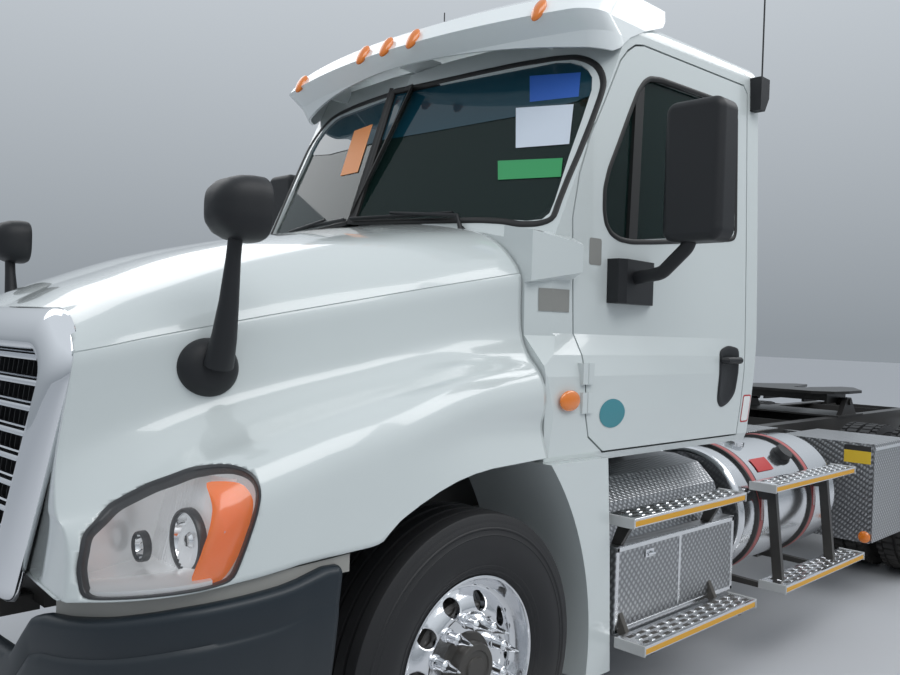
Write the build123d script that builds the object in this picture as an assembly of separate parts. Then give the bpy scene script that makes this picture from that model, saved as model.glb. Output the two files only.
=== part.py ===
from build123d import *
import math
import os

# Day-cab road tractor with three axles. Sizes in millimetres.
# X points forward from the front axle, Y to the driver's left, Z up from the ground.

# Wheels and axles
TYRE_RADIUS = 505.0
TYRE_WIDTH = 286.0
TREAD_WIDTH = 246.0
BEAD_RADIUS = 286.0
FLANGE_RADIUS = 298.0
RIM_WIDTH = 236.0
RIM_WALL = 12.0
FRONT_TYRE_Y = 1035.0
FRONT_OFFSET = 75.0
DUAL_CENTRE_Y = 918.0
DUAL_SPACING = 343.0
WHEELBASE = 5270.0
TANDEM_SPACING = 1320.0
HUB_RADIUS = 108.0
HUB_CAP = 84.0
DRUM_RADIUS = 205.0
SPINDLE_RADIUS = 42.0
SPINDLE_GAP = 1.0
HAND_HOLES = 10
HAND_HOLE_RADIUS = 33.0
HAND_HOLE_CIRCLE = 205.0
STUDS = 10
STUD_CIRCLE = 142.9
SPIKE_RADIUS = 19.0
SPIKE_LENGTH = 112.0
KINGPIN_Y = 915.0
KINGPIN_RADIUS = 24.0
PIN_FIT = 0.05
STEER_ARM = 190.0

# Frame
FRAME_HALF = 432.0
RAIL_TOP = 1010.0
RAIL_DEPTH = 270.0
RAIL_FLANGE = 88.0
RAIL_WALL = 10.0
FRONT_OVERHANG = 1270.0
REAR_OVERHANG = 1250.0
RAIL_FRONT = 1085.0

# Cab
CAB_BACK = -1955.0
CAB_FRONT = -408.0
CAB_WALL = 45.0
FLOOR_Z = 1110.0
FLOOR_THICK = 28.0
ROOF_CROWN = 2962.0
ROOF_SPLIT = ROOF_CROWN - 100
GUTTER_DROP = 157.0
DOOR_REAR = -1850.0
DOOR_FRONT = -640.0
DOOR_BOTTOM = 1146.0
DOOR_TOP = ROOF_CROWN - GUTTER_DROP
DOOR_THICK = 60.0
DOOR_GAP = 8.0
DOOR_PIN_Y = 1112.0
GLASS = 6.0

# Hood
HOOD_BACK = -400.0
HOOD_WALL = 14.0
HINGE_X = 1210.0
HINGE_Z = 735.0
HINGE_Y = 300.0
HINGE_PIN = 14.0
HINGE_EYE = 26.0
SEAT_GAP = 0.3

# Steps, tanks and boxes
STEP_TOP_Z = 893.0
STEP_LOW_Z = 417.0
STEP_THICK = 37.0
STEP_DEPTH = 137.0
STEP_UP_Y = 1221.0
STEP_LOW_Y = 1287.0
CAB_STEP_X = (-1730.0, -812.0)
TANK_STEP_X = (-3055.0, -2045.0)
TANK_RADIUS = 325.0
TANK_Y = 775.0
TANK_Z = 712.0
TANK_X = (-3110.0, -1948.0)
STRAP_X = (-2760.0, -2130.0)
STRAP_THICK = 12.0
STRAP_WIDTH = 62.0
BOX_X = (-4030.0, -3430.0)
BOX_Y = (610.0, 1181.0)
BOX_Z = (388.0, 990.0)
BATTERY_X = (-1860.0, -873.0)
BATTERY_Y = (470.0, 1100.0)
BATTERY_Z = (395.0, 750.0)

# Fifth wheel
FIFTH_X = -5090.0
FIFTH_PIVOT_Z = 1122.0
FIFTH_TOP = 1212.0
FIFTH_HALF = 455.0
FIFTH_SLOT = 51.0

AXLE_Z = TYRE_RADIUS
DRIVE_X = [-(WHEELBASE - TANDEM_SPACING / 2), -(WHEELBASE + TANDEM_SPACING / 2)]
FRAME_END = -(WHEELBASE + REAR_OVERHANG)
RAIL_BOTTOM = RAIL_TOP - RAIL_DEPTH
INSIDE = FRAME_HALF - RAIL_WALL


def block(x, y, z):
    """Box between two X, two Y and two Z values."""
    size = [abs(r[1] - r[0]) for r in (x, y, z)]
    centre = [(r[0] + r[1]) / 2 for r in (x, y, z)]
    return Pos(*centre) * Box(*size)


def bar_y(radius, y0, y1, x, z):
    """Round bar along Y."""
    return Pos(x, (y0 + y1) / 2, z) * Rot(90, 0, 0) * Cylinder(radius, abs(y1 - y0))


def bar_x(radius, x0, x1, y, z):
    """Round bar along X."""
    return Pos((x0 + x1) / 2, y, z) * Rot(0, 90, 0) * Cylinder(radius, abs(x1 - x0))


def bar_z(radius, z0, z1, x, y):
    """Round bar along Z."""
    return Pos(x, y, (z0 + z1) / 2) * Cylinder(radius, abs(z1 - z0))


def tube_along(points, radius, bend):
    """Round bar along a line of points, its corners turned with one bend radius."""
    path = FilletPolyline(*points, radius=bend)
    start = Vector(*points[1]) - Vector(*points[0])
    return sweep(Plane(origin=points[0], z_dir=start) * Circle(radius), path=path)


def bar_between(a, b, radius):
    """Straight round bar between two points."""
    line = Vector(*b) - Vector(*a)
    return Plane(origin=a, z_dir=line) * Pos(0, 0, line.length / 2) * Cylinder(radius, line.length)


def side_prism(points, y0, y1):
    """Outline in X and Z, extruded along Y from y0 to y1."""
    face = make_face(Polyline([(x, 0, z) for x, z in points], close=True))
    return Pos(0, min(y0, y1), 0) * extrude(face, abs(y1 - y0), dir=(0, 1, 0))


def end_prism(points, x0, x1):
    """Outline in Y and Z, extruded along X from x0 to x1."""
    face = make_face(Polyline([(0, y, z) for y, z in points], close=True))
    return Pos(min(x0, x1), 0, 0) * extrude(face, abs(x1 - x0), dir=(1, 0, 0))


def plan_prism(points, z0, z1):
    """Outline in X and Y, extruded along Z from z0 to z1."""
    face = make_face(Polyline([(x, y, 0) for x, y in points], close=True))
    return Pos(0, 0, min(z0, z1)) * extrude(face, abs(z1 - z0), dir=(0, 0, 1))


def other_side(shape):
    return mirror(shape, about=Plane.XZ)


def together(*shapes):
    """Several shapes kept as separate solids."""
    return Compound(children=[s for shape in shapes for s in shape.solids()])


def both_sides(shape):
    """A shape and its mirror image in one."""
    return shape + other_side(shape)


def both(shape):
    """The shape and its mirror image on the right-hand side."""
    return together(shape, other_side(shape))


def ring_y(profile):
    """Closed outline of radius and Y points, turned about the Y axis."""
    face = make_face(Polyline([(r, y, 0) for r, y in profile], close=True))
    return revolve(face, Axis.Y)


# Tyres and wheels

def tyre(y):
    """Ring with tread, shoulders, bulged sidewalls and beads, centred at Y."""
    h, t = TYRE_WIDTH / 2, TREAD_WIDTH / 2
    half = [
        (BEAD_RADIUS + 0.5, h * 0.70),
        (BEAD_RADIUS + 30, h * 0.82),
        (BEAD_RADIUS + 80, h * 0.98),
        (BEAD_RADIUS + 120, h),
        (TYRE_RADIUS - 45, h * 0.95),
        (TYRE_RADIUS - 14, t),
        (TYRE_RADIUS, t * 0.86),
    ]
    outline = half + [(r, -w) for r, w in reversed(half)]
    return Pos(0, y, 0) * ring_y(outline)


def rim(y, disc_y, out):
    """Barrel with two flanges, and a dished disc at disc_y that faces the way out gives."""
    w, t = RIM_WIDTH / 2, RIM_WALL
    seat, drop = BEAD_RADIUS, BEAD_RADIUS - 34
    barrel = [
        (FLANGE_RADIUS, w), (seat, w - 14), (seat, w - 52), (drop, w - 74), (drop, -w + 74),
        (seat, -w + 52), (seat, -w + 14), (FLANGE_RADIUS, -w), (FLANGE_RADIUS - t, -w),
        (seat - t, -w + 14), (seat - t, -w + 60), (drop - t, -w + 82), (drop - t, w - 82),
        (seat - t, w - 60), (seat - t, w - 14), (FLANGE_RADIUS - t, w),
    ]
    ring = Pos(0, y, 0) * ring_y(barrel)
    edge = y + out * 24
    inner, outer = HUB_RADIUS - 4, drop - t / 2
    dish = [
        (outer, edge - out * 16), (outer, edge + out * 8), (outer - 26, disc_y + out * 14),
        (STUD_CIRCLE + 42, disc_y + out * 20), (STUD_CIRCLE + 24, disc_y + out * 11),
        (inner, disc_y + out * 11),
        (inner, disc_y - out * 11), (STUD_CIRCLE + 28, disc_y - out * 11),
        (STUD_CIRCLE + 46, disc_y - out * 2),
        (outer - 34, disc_y - out * 10),
    ]
    disc = ring_y(dish)
    hole = Rot(90, 0, 0) * Cylinder(HAND_HOLE_RADIUS, 90)
    for n in range(HAND_HOLES):
        angle = 2 * math.pi * n / HAND_HOLES
        disc -= Pos(HAND_HOLE_CIRCLE * math.cos(angle), disc_y, HAND_HOLE_CIRCLE * math.sin(angle)) * hole
    return ring + disc


def studs(base, out):
    """Ten long pointed nut covers on the stud circle, standing on the disc face at base."""
    tip, shank = base + out * SPIKE_LENGTH, base + out * SPIKE_LENGTH * 0.42
    spike = ring_y([(0, base), (SPIKE_RADIUS, base), (SPIKE_RADIUS, shank), (SPIKE_RADIUS * 0.86, shank),
                    (2, tip), (0, tip)])
    places = []
    for n in range(STUDS):
        angle = 2 * math.pi * (n + 0.5) / STUDS
        places.append(Pos(STUD_CIRCLE * math.cos(angle), 0, STUD_CIRCLE * math.sin(angle)) * spike)
    return places


def hub(y_in, y_out, out):
    """Hub barrel that turns on the spindle, with a closed cap outside the disc."""
    bore = SPINDLE_RADIUS + SPINDLE_GAP
    return ring_y([
        (bore, y_in), (HUB_RADIUS, y_in), (HUB_RADIUS, y_out), (HUB_CAP, y_out), (HUB_CAP, y_out + out * 34),
        (HUB_CAP - 12, y_out + out * 42), (0, y_out + out * 42), (0, y_out + out * 20),
        (bore, y_out + out * 20),
    ])


def drum(y0, y1):
    """Open brake drum between two Y planes, closed at the y1 end by its web."""
    s = 1 if y1 > y0 else -1
    return ring_y([
        (DRUM_RADIUS, y0), (DRUM_RADIUS, y1), (HUB_RADIUS - 6, y1), (HUB_RADIUS - 6, y1 - s * 14),
        (DRUM_RADIUS - 14, y1 - s * 14), (DRUM_RADIUS - 14, y0),
    ])


SPINDLE_START = KINGPIN_Y + 85
BRAKE_PLATE = 10.0
FRONT_DISC_Y = FRONT_TYRE_Y + FRONT_OFFSET


def front_wheel():
    """Left front tyre and rim, about the axle."""
    wheel = rim(FRONT_TYRE_Y, FRONT_DISC_Y, 1)
    wheel += hub(SPINDLE_START + BRAKE_PLATE + 6, FRONT_DISC_Y + 34, 1)
    wheel += drum(SPINDLE_START + BRAKE_PLATE + 5, FRONT_DISC_Y - 11)
    for spike in studs(FRONT_DISC_Y + 10, 1):
        wheel += spike
    return tyre(FRONT_TYRE_Y), wheel


DUAL_IN = DUAL_CENTRE_Y - DUAL_SPACING / 2
DUAL_OUT = DUAL_CENTRE_Y + DUAL_SPACING / 2


def drive_wheels():
    """Left pair of drive tyres and their two rims on one hub, about the axle."""
    wheel = rim(DUAL_OUT, DUAL_CENTRE_Y + 11, -1) + rim(DUAL_IN, DUAL_CENTRE_Y - 11, 1)
    wheel += hub(DUAL_IN - 70, DUAL_CENTRE_Y + 118, 1)
    wheel += drum(DUAL_IN - 72, DUAL_CENTRE_Y - 22)
    for spike in studs(DUAL_CENTRE_Y + 21, 1):
        wheel += spike
    return together(tyre(DUAL_IN), tyre(DUAL_OUT)), wheel


def at_axle(shape, x):
    return Pos(x, 0, AXLE_Z) * shape


# Front axle and steering

BEAM_DROP = 95.0
EYE_HALF = 58.0
EYE_RADIUS = 54.0
LUG_GAP = 4.0
LEAF_HALF = 690.0
LEAF_SAG = 105.0
LEAF_Y = 388.0
LEAF_WIDTH = 88.0
LEAF_THICK = 20.0


def front_beam():
    """Forged I-beam with a dropped middle and an eye for the kingpin at each end."""
    end, low = KINGPIN_Y - 30, AXLE_Z - BEAM_DROP
    top = [(-end, AXLE_Z + 50), (-620, low + 62), (620, low + 62), (end, AXLE_Z + 50)]
    under = [(end, AXLE_Z - 50), (600, low - 48), (-600, low - 48), (-end, AXLE_Z - 50)]
    shape = end_prism(top + under, -16, 16)
    shape += end_prism(top + [(y, z - 22) for y, z in reversed(top)], -46, 46)
    shape += end_prism([(y, z + 22) for y, z in reversed(under)] + under, -46, 46)
    for side in (-1, 1):
        shape += bar_z(EYE_RADIUS, AXLE_Z - EYE_HALF, AXLE_Z + EYE_HALF, 0, side * KINGPIN_Y)
        shape -= bar_z(KINGPIN_RADIUS + PIN_FIT, 0, AXLE_Z * 2, 0, side * KINGPIN_Y)
    return shape


def leaf(half, z_mid, sag):
    """One curved leaf lying along X."""
    low = z_mid - LEAF_THICK
    top = ThreePointArc((-half, 0, z_mid + sag), (0, 0, z_mid), (half, 0, z_mid + sag))
    under = ThreePointArc((half, 0, low + sag), (0, 0, low), (-half, 0, low + sag))
    face = make_face([top, Line(top @ 1, under @ 0), under, Line(under @ 1, top @ 0)])
    return Pos(0, LEAF_Y - LEAF_WIDTH / 2, 0) * extrude(face, LEAF_WIDTH, dir=(0, 1, 0))


def front_springs():
    """Leaf packs clamped to the beam, with hangers up to the rails."""
    pad = AXLE_Z - BEAM_DROP + 62
    z = pad + 66
    # half length and height of the ends above the middle, as shares of the main leaf
    for n, (length, rise) in enumerate([(1.0, 1.0), (0.8, 0.64), (0.55, 0.3)]):
        one = leaf(LEAF_HALF * length, z - n * LEAF_THICK, LEAF_SAG * rise)
        shape = one if n == 0 else shape + one
    shape += block((-60, 60), (LEAF_Y - 52, LEAF_Y + 52), (pad, z - 52))
    shape += block((-48, 48), (LEAF_Y - 50, LEAF_Y + 50), (z - 62, z + 34))
    for x in (-LEAF_HALF + 20, LEAF_HALF - 20):
        shape += block((x - 34, x + 34), (LEAF_Y - 40, LEAF_Y + 40), (z + LEAF_SAG - 45, RAIL_BOTTOM))
    return both(shape)


def knuckle():
    """Left steering knuckle: kingpin between two lugs, spindle, brake plate and steering arm."""
    lug = EYE_HALF + LUG_GAP
    shape = bar_z(KINGPIN_RADIUS, AXLE_Z - lug - 40, AXLE_Z + lug + 40, 0, KINGPIN_Y)
    for z in ((AXLE_Z + lug, AXLE_Z + lug + 46), (AXLE_Z - lug - 46, AXLE_Z - lug)):
        shape += block((-46, 46), (KINGPIN_Y, SPINDLE_START), z) + bar_z(46, *z, 0, KINGPIN_Y)
    shape += block((-46, 46), (KINGPIN_Y + 58, SPINDLE_START), (AXLE_Z - lug, AXLE_Z + lug))
    shape += bar_y(DRUM_RADIUS - 30, SPINDLE_START, SPINDLE_START + BRAKE_PLATE, 0, AXLE_Z)
    shape += bar_y(SPINDLE_RADIUS, SPINDLE_START, FRONT_DISC_Y + 40, 0, AXLE_Z)
    shape += block((-STEER_ARM - 26, -20), (KINGPIN_Y - 26, KINGPIN_Y + 26),
                   (AXLE_Z - lug - 46, AXLE_Z - lug - 18))
    return shape


TIE_DROP = 142.0


def tie_rod():
    """Rod between the two steering arms, below them."""
    z = AXLE_Z - TIE_DROP
    rod = bar_y(20, -KINGPIN_Y, KINGPIN_Y, -STEER_ARM, z)
    arm_low = AXLE_Z - EYE_HALF - LUG_GAP - 46
    for y in (-KINGPIN_Y, KINGPIN_Y):
        rod += bar_z(26, z - 24, arm_low - SEAT_GAP, -STEER_ARM, y)
    return rod


# Frame and driveline

CAB_MOUNT_X = (-520.0, -1860.0)


def frame():
    """Two C-section rails joined by crossmembers, with the hood pivot brackets in front."""
    y0, y1 = FRAME_HALF - RAIL_FLANGE, FRAME_HALF
    low, top, w = RAIL_BOTTOM, RAIL_TOP, RAIL_WALL
    channel = [(y0, top), (y1, top), (y1, low), (y0, low), (y0, low + w), (y1 - w, low + w),
               (y1 - w, top - w), (y0, top - w)]
    rail = end_prism(channel, FRAME_END + w, RAIL_FRONT)
    shape = rail + other_side(rail)
    for x in (-1400, -2550, -3700, DRIVE_X[0] + 330, -WHEELBASE, DRIVE_X[1] - 330):
        shape += block((x - 5, x + 5), (-INSIDE, INSIDE), (low + 50, top - w))
        shape += block((x - 5, x + 70), (-INSIDE, INSIDE), (low + 50, low + 60))
    shape += block((RAIL_FRONT - 70, RAIL_FRONT), (-INSIDE, INSIDE), (low, low + 70))
    shape += block((FRAME_END, FRAME_END + w), (-FRAME_HALF, FRAME_HALF), (low, top))
    for side in (-1, 1):
        for y in (HINGE_Y - 31, HINGE_Y + 31):
            sheet = (side * y - 9, side * y + 9)
            ear = block((RAIL_FRONT - 20, HINGE_X), sheet, (HINGE_Z - HINGE_EYE, HINGE_Z + HINGE_EYE))
            shape += ear + bar_y(HINGE_EYE, *sheet, HINGE_X, HINGE_Z)
        shape -= bar_y(HINGE_PIN + PIN_FIT, side * 200, side * 400, HINGE_X, HINGE_Z)
        for x in CAB_MOUNT_X:
            shape += block((x - 50, x + 50), (side * 350, side * FRAME_HALF), (RAIL_TOP - w, FLOOR_Z))
    return shape


AXLE_NOSE = 285.0


def drive_axles():
    """Two drive axle housings with trailing arms and air springs up to the rails."""
    inner = DUAL_IN - 74
    found = []
    for x in DRIVE_X:
        shape = bar_y(64, -inner, inner, x, AXLE_Z)
        shape += Pos(x, 0, AXLE_Z) * Rot(0, 90, 0) * Cylinder(205, 230)
        shape += Pos(x + AXLE_NOSE - 95, 0, AXLE_Z + 40) * Rot(0, 90, 0) * Cone(120, 62, 190)
        for side in (-1, 1):
            shape += bar_y(SPINDLE_RADIUS, side * (inner - 20), side * (DUAL_CENTRE_Y + 125), x, AXLE_Z)
            shape += bar_y(DRUM_RADIUS - 30, side * (inner - 14), side * inner, x, AXLE_Z)
            y = (side * LEAF_Y - 38, side * LEAF_Y + 38)
            shape += side_prism([(x + 540, 580), (x + 540, 640), (x + 60, AXLE_Z + 118),
                                 (x - 60, AXLE_Z + 118),
                                 (x - 420, 520), (x - 420, 480), (x - 60, AXLE_Z + 50),
                                 (x + 60, AXLE_Z + 50)], *y)
            shape += block((x + 480, x + 570), y, (560, RAIL_BOTTOM))
            shape += bar_z(112, 500, RAIL_BOTTOM, x - 300, side * LEAF_Y)
        found.append(shape)
    return together(*found)


ENGINE_X = (-330.0, 760.0)
ENGINE_Y = 320.0
ENGINE_Z = (600.0, 1440.0)
GEARBOX_BACK = -1250.0


def powertrain():
    """Engine and gearbox as plain blocks on mounts."""
    shape = block(ENGINE_X, (-ENGINE_Y, ENGINE_Y), ENGINE_Z)
    shape += side_prism([(ENGINE_X[0], 640), (ENGINE_X[0], 1050), (-700, 980), (GEARBOX_BACK, 860),
                         (GEARBOX_BACK, 640)],
                        -230, 230)
    for x in (600, -200):
        shape += block((x - 50, x + 50), (-INSIDE, INSIDE), (RAIL_BOTTOM + 40, RAIL_BOTTOM + 90))
    return shape


def propeller_shafts():
    """Shaft from the gearbox to the first drive axle, and the short one between the axles."""
    found = []
    # start and end of each shaft, X and Z, with its radius
    for (x0, z0), (x1, z1), radius in (((GEARBOX_BACK, 730), (DRIVE_X[0] + AXLE_NOSE, AXLE_Z + 40), 55),
                                       ((DRIVE_X[0] - 115, AXLE_Z + 60),
                                        (DRIVE_X[1] + AXLE_NOSE, AXLE_Z + 40), 48)):
        shaft = bar_between((x0 + 20, 0, z0), (x1 - 20, 0, z1), radius)
        found.append(shaft & block((x0, x1), (-200, 200), (0, 1000)))
    return together(*found)


def radiator():
    """Cooling pack behind the grille, narrower where it drops between the rails."""
    low, high = FRAME_HALF - RAIL_FLANGE - 20, 545
    return end_prism([(-low, 700), (low, 700), (low, RAIL_TOP), (high, RAIL_TOP), (high, 1470), (-high, 1470),
                      (-high, RAIL_TOP), (-low, RAIL_TOP)], 850, 960)


def air_tanks():
    """Two air reservoirs hung under the rails."""
    z = RAIL_BOTTOM - 130
    tank = bar_x(118, -2950, -2250, 250, z)
    for x in (-2820, -2380):
        tank += block((x - 20, x + 20), (330, 400), (z + 30, RAIL_BOTTOM))
    return both(tank)


# Lower edge of the hood, X and Z: from the wheel opening's front corner forward to the nose
HOOD_EDGE = [(430, 993), (459, 984), (523, 980), (700, 968), (938, 934), (1200, 900)]
# Bumper: outline in plan from the middle to the left end
BUMPER_PLAN = [(FRONT_OVERHANG, 0), (1264, 480), (1224, 800), (1130, 1010), (1010, 1120), (800, 1196),
               (545, 1222)]
BUMPER_WALL = 16.0
BUMPER_LOW = 330.0
BUMPER_MIDDLE = 700.0


def plan_wall(points, wall, z0, z1):
    """Wall along a line in plan, thickened inwards."""
    inner = []
    for i, (x, y) in enumerate(points):
        a, b = points[max(i - 1, 0)], points[min(i + 1, len(points) - 1)]
        dx, dy = b[0] - a[0], b[1] - a[1]
        length = math.hypot(dx, dy)
        inner.append((x + wall * -dy / length, y + wall * dx / length))
    inner[0] = (points[0][0] - wall, 0)
    return plan_prism(points + inner[::-1], z0, z1)


# Top edge of the bumper from its wrap-round front to its rear tip, X and Z
BUMPER_TOP = [(FRONT_OVERHANG - 68, 843), (1134, 862), (1008, 888), (846, 907), (692, 928), (568, 951),
              (500, 950)]
# Rear end of the bumper, X and Z from its tip down
BUMPER_END = [(520, 940), (570, 861), (616, 762), (660, 500), (760, 200)]
VALENCE_INSET = 30.0
VALENCE_WALL = 8.0
VALENCE_GAP = 10.0


def bumper():
    """One-piece moulded bumper, lower in the middle below the grille, open at the back."""
    shell = plan_wall(BUMPER_PLAN, BUMPER_WALL, BUMPER_LOW, 960)
    shell -= side_prism([(1500, BUMPER_TOP[0][1]), *BUMPER_TOP, (500, 1000), (1500, 1000)], 0, 1400)
    shell -= block((1000, 1400), (0, 645), (BUMPER_MIDDLE, 1100))
    shell -= side_prism([(500, 200), (500, 940), *BUMPER_END], 900, 1400)
    shell -= block((1100, 1400), (0, 420), (430, 560))
    shell -= Pos(1200, 790, 520) * Rot(0, 90, 0) * Cylinder(60, 200)
    shell += block((RAIL_FRONT, 1258), (350, 420), (600, 690))
    shell += block((RAIL_FRONT - 60, RAIL_FRONT), (350, 420), (600, RAIL_BOTTOM))
    shell += valence()
    return shell + other_side(shell)


def valence():
    """Upright strip inside the bumper's top edge that closes the gap below the hood and lamp."""
    line = [(x - VALENCE_INSET * 0.5, y - VALENCE_INSET) for x, y in BUMPER_PLAN[2:]]
    strip = plan_wall([(line[0][0] + 12, 700), *line], VALENCE_WALL, BUMPER_MIDDLE + 90, 1000)
    low = [(x, z - 40) for x, z in BUMPER_TOP]
    high = [(x, z - VALENCE_GAP) for x, z in HOOD_EDGE]
    band = side_prism([(1400, low[0][1]), *low, *high, (1400, high[-1][1])], 700, 1300)
    shelf = side_prism([(1400, low[0][1]), *low, *[(x, z + 5) for x, z in reversed(low)],
                        (1400, low[0][1] + 5)], 700, 1300)
    inside = plan_prism([*BUMPER_PLAN[2:], *[(x - 20, y - 34) for x, y in reversed(BUMPER_PLAN[2:])]], 700,
                        1000)
    return (strip & band) + (shelf & inside)


# Hood sections from the nose to the cab. Each leans: x_low at the fender, x_high at the crown.
# Then Z of the crown, and Y and Z of shoulder, seam, waist, crest, side and foot.
HOOD_TABLE = [
    # x_low, x_high, crown, shoulder, seam, waist, crest, side, foot
    (1200, 1105, 1622, (430, 1600), (700, 1510), (694, 1250), (770, 1075), (880, 1000), (905, 900)),
    (1120, 1045, 1655, (450, 1632), (725, 1524), (726, 1262), (850, 1110), (985, 1000), (1005, 910)),
    (1000, 960, 1700, (470, 1676), (755, 1546), (764, 1300), (925, 1185), (1082, 1060), (1102, 926)),
    (850, 830, 1752, (490, 1726), (785, 1574), (802, 1345), (1000, 1250), (1136, 1120), (1152, 947)),
    (600, 600, 1835, (530, 1806), (832, 1622), (854, 1405), (1052, 1330), (1168, 1190), (1182, 975)),
    (300, 300, 1915, (580, 1884), (886, 1682), (905, 1470), (1076, 1402), (1176, 1232), (1205, 975)),
    (0, 0, 1980, (620, 1944), (926, 1740), (938, 1545), (1072, 1450), (1132, 1268), (1212, 975)),
    (HOOD_BACK, HOOD_BACK, 2045, (650, 2003), (965, 1815), (968, 1612), (1060, 1470), (1076, 1262),
     (1178, 975)),
]
HOOD_LEAN_Z = (900.0, 1600.0)
# Bulge of each stretch of the outline as a share of its chord, outwards positive.
HOOD_BULGE = (0.03, 0.12, -0.02, -0.10, 0.16, 0.01)
# Inward direction at each outline point, used for the inside skin.
HOOD_INWARD = ((0, -1), (-0.2, -1), (-0.85, -0.6), (-1, -0.1), (-0.5, -0.9), (-0.95, -0.3), (-1, 0))


def hood_section(row, inset=0.0, shift=0.0):
    """Left half of one hood section as a flat leaning face, moved inwards by inset."""
    x_low, x_high, crown, *rest = row
    z0, z1 = HOOD_LEAN_Z
    points = [(y + iy * inset, z + iz * inset) for (y, z), (iy, iz) in zip([(0, crown), *rest], HOOD_INWARD)]
    if inset:
        points[-1] = (points[-1][0], points[-1][1] - 60)

    def place(y, z):
        return Vector(x_low + (x_high - x_low) * (z - z0) / (z1 - z0) + shift, y, z)

    edges = []
    for a, b, bulge in zip(points[:-1], points[1:], HOOD_BULGE):
        dy, dz = b[0] - a[0], b[1] - a[1]
        middle = ((a[0] + b[0]) / 2 - dz * bulge, (a[1] + b[1]) / 2 + dy * bulge)
        edges.append(ThreePointArc(place(*a), place(*middle), place(*b)))
    corner = place(0, points[-1][1])
    edges.append(Line(place(*points[-1]), corner))
    edges.append(Line(corner, place(*points[0])))
    return make_face(edges)


def hood_solid(inset=0.0):
    """Left half of the hood's volume, or of its inside when inset is given."""
    sections = [hood_section(row, inset, -inset if n == 0 else 0) for n, row in enumerate(HOOD_TABLE)]
    if inset:
        sections.append(hood_section(HOOD_TABLE[-1], inset, -60))
    return loft(sections, ruled=True)


ARCH_TOP = 1152.0


def arch_cut():
    """Wheel opening in the fender, from its front corner up and back to the cab."""
    corner, back = HOOD_EDGE[0], HOOD_BACK - 80
    edges = [
        Polyline([(x, 0, z) for x, z in HOOD_EDGE]),
        Line((1200, 0, 900), (1200, 0, 800)),
        Line((1200, 0, 800), (back, 0, 800)),
        Line((back, 0, 800), (back, 0, ARCH_TOP)),
        Line((back, 0, ARCH_TOP), (-61, 0, ARCH_TOP)),
        ThreePointArc((-61, 0, ARCH_TOP), (209, 0, 1109), (367, 0, 1045)),
        Line((367, 0, 1045), (corner[0], 0, corner[1])),
    ]
    return Pos(0, -1, 0) * extrude(make_face(edges), 1300, dir=(0, 1, 0))


# Grille opening: half width and height of its upper and lower corners
GRILLE_TOP = (640.0, 1545.0)
GRILLE_LOW = (548.0, 830.0)
GRILLE_BAND = 54.0
GRILLE_BARS = 9


def grille_outline(extra):
    (wt, zt), (wb, zb) = GRILLE_TOP, GRILLE_LOW
    right = [(wt + extra - 70, zt + extra), (wt + extra, zt - 90), (wb + extra, zb + 60 - extra),
             (wb + extra - 60, zb - extra)]
    return right + [(-y, z) for y, z in reversed(right)]


def bowed(x_front, thick):
    """Upright curved slab whose front face bows forward in plan."""
    radius = 3000.0
    slab = Pos(x_front - radius, 0, 1200) * (Cylinder(radius, 1400) - Cylinder(radius - thick, 1500))
    return slab & block((600, 1500), (-900, 900), (600, 1800))


def lean(shape):
    """Tilts a piece back about the hood's lower front edge."""
    (x_low, x_high), (z0, z1) = HOOD_TABLE[0][:2], HOOD_LEAN_Z
    angle = math.degrees(math.atan2(x_low - x_high, z1 - z0))
    return Pos(x_low, 0, z0) * (Rot(0, -angle, 0) * (Pos(-x_low, 0, -z0) * shape))


GRILLE_PROUD = 42.0
GRILLE_DEPTH = 92.0


def surround_block():
    """Space that the grille surround takes up, before it is leaned back."""
    nose = HOOD_TABLE[0][0] + GRILLE_PROUD
    return end_prism(grille_outline(GRILLE_BAND), 600, 1500) & bowed(nose, GRILLE_DEPTH)


def grille():
    """Bright surround with curved bars across it, and the two hood hinge arms."""
    nose = HOOD_TABLE[0][0] + GRILLE_PROUD
    shape = surround_block() - end_prism(grille_outline(-38), 500, 1600)
    low, high = GRILLE_LOW[1] + 60, GRILLE_TOP[1] - 60
    for n in range(GRILLE_BARS):
        z = low + (high - low) * n / (GRILLE_BARS - 1)
        share = (z - GRILLE_LOW[1]) / (GRILLE_TOP[1] - GRILLE_LOW[1])
        half = GRILLE_LOW[0] + (GRILLE_TOP[0] - GRILLE_LOW[0]) * share - 30
        shape += block((600, 1500), (-half, half), (z - 9, z + 9)) & bowed(nose - 14, 66)
    shape += block((600, 1500), (-14, 14), (GRILLE_LOW[1] + 20, GRILLE_TOP[1] - 20)) & bowed(nose - 20, 56)
    shape = lean(shape)
    for side in (-1, 1):
        y = (side * HINGE_Y - 20, side * HINGE_Y + 20)
        shape += block((HINGE_X - 20, HINGE_X + 20), y, (HINGE_Z, GRILLE_LOW[1] - GRILLE_BAND + 14))
        shape += bar_y(20, *y, HINGE_X, HINGE_Z)
        shape += bar_y(HINGE_PIN, side * HINGE_Y - 40, side * HINGE_Y + 40, HINGE_X, HINGE_Z)
    return shape


# Headlight outline seen from the side, X and Z
LAMP = [(1206, 922), (1060, 926), (905, 946), (835, 1180), (850, 1212), (905, 1228), (985, 1214),
        (1080, 1160), (1160, 1070),
        (1198, 985)]
LAMP_GAP = SEAT_GAP
LAMP_DEPTH = 60.0
LAMP_INNER_Y = 742.0


def lamp_prism(grow):
    cx = sum(p[0] for p in LAMP) / len(LAMP)
    cz = sum(p[1] for p in LAMP) / len(LAMP)
    out = []
    for x, z in LAMP:
        d = math.hypot(x - cx, z - cz)
        out.append((x + (x - cx) / d * grow, z + (z - cz) / d * grow))
    return side_prism(out, LAMP_INNER_Y - grow, 1300)


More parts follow.
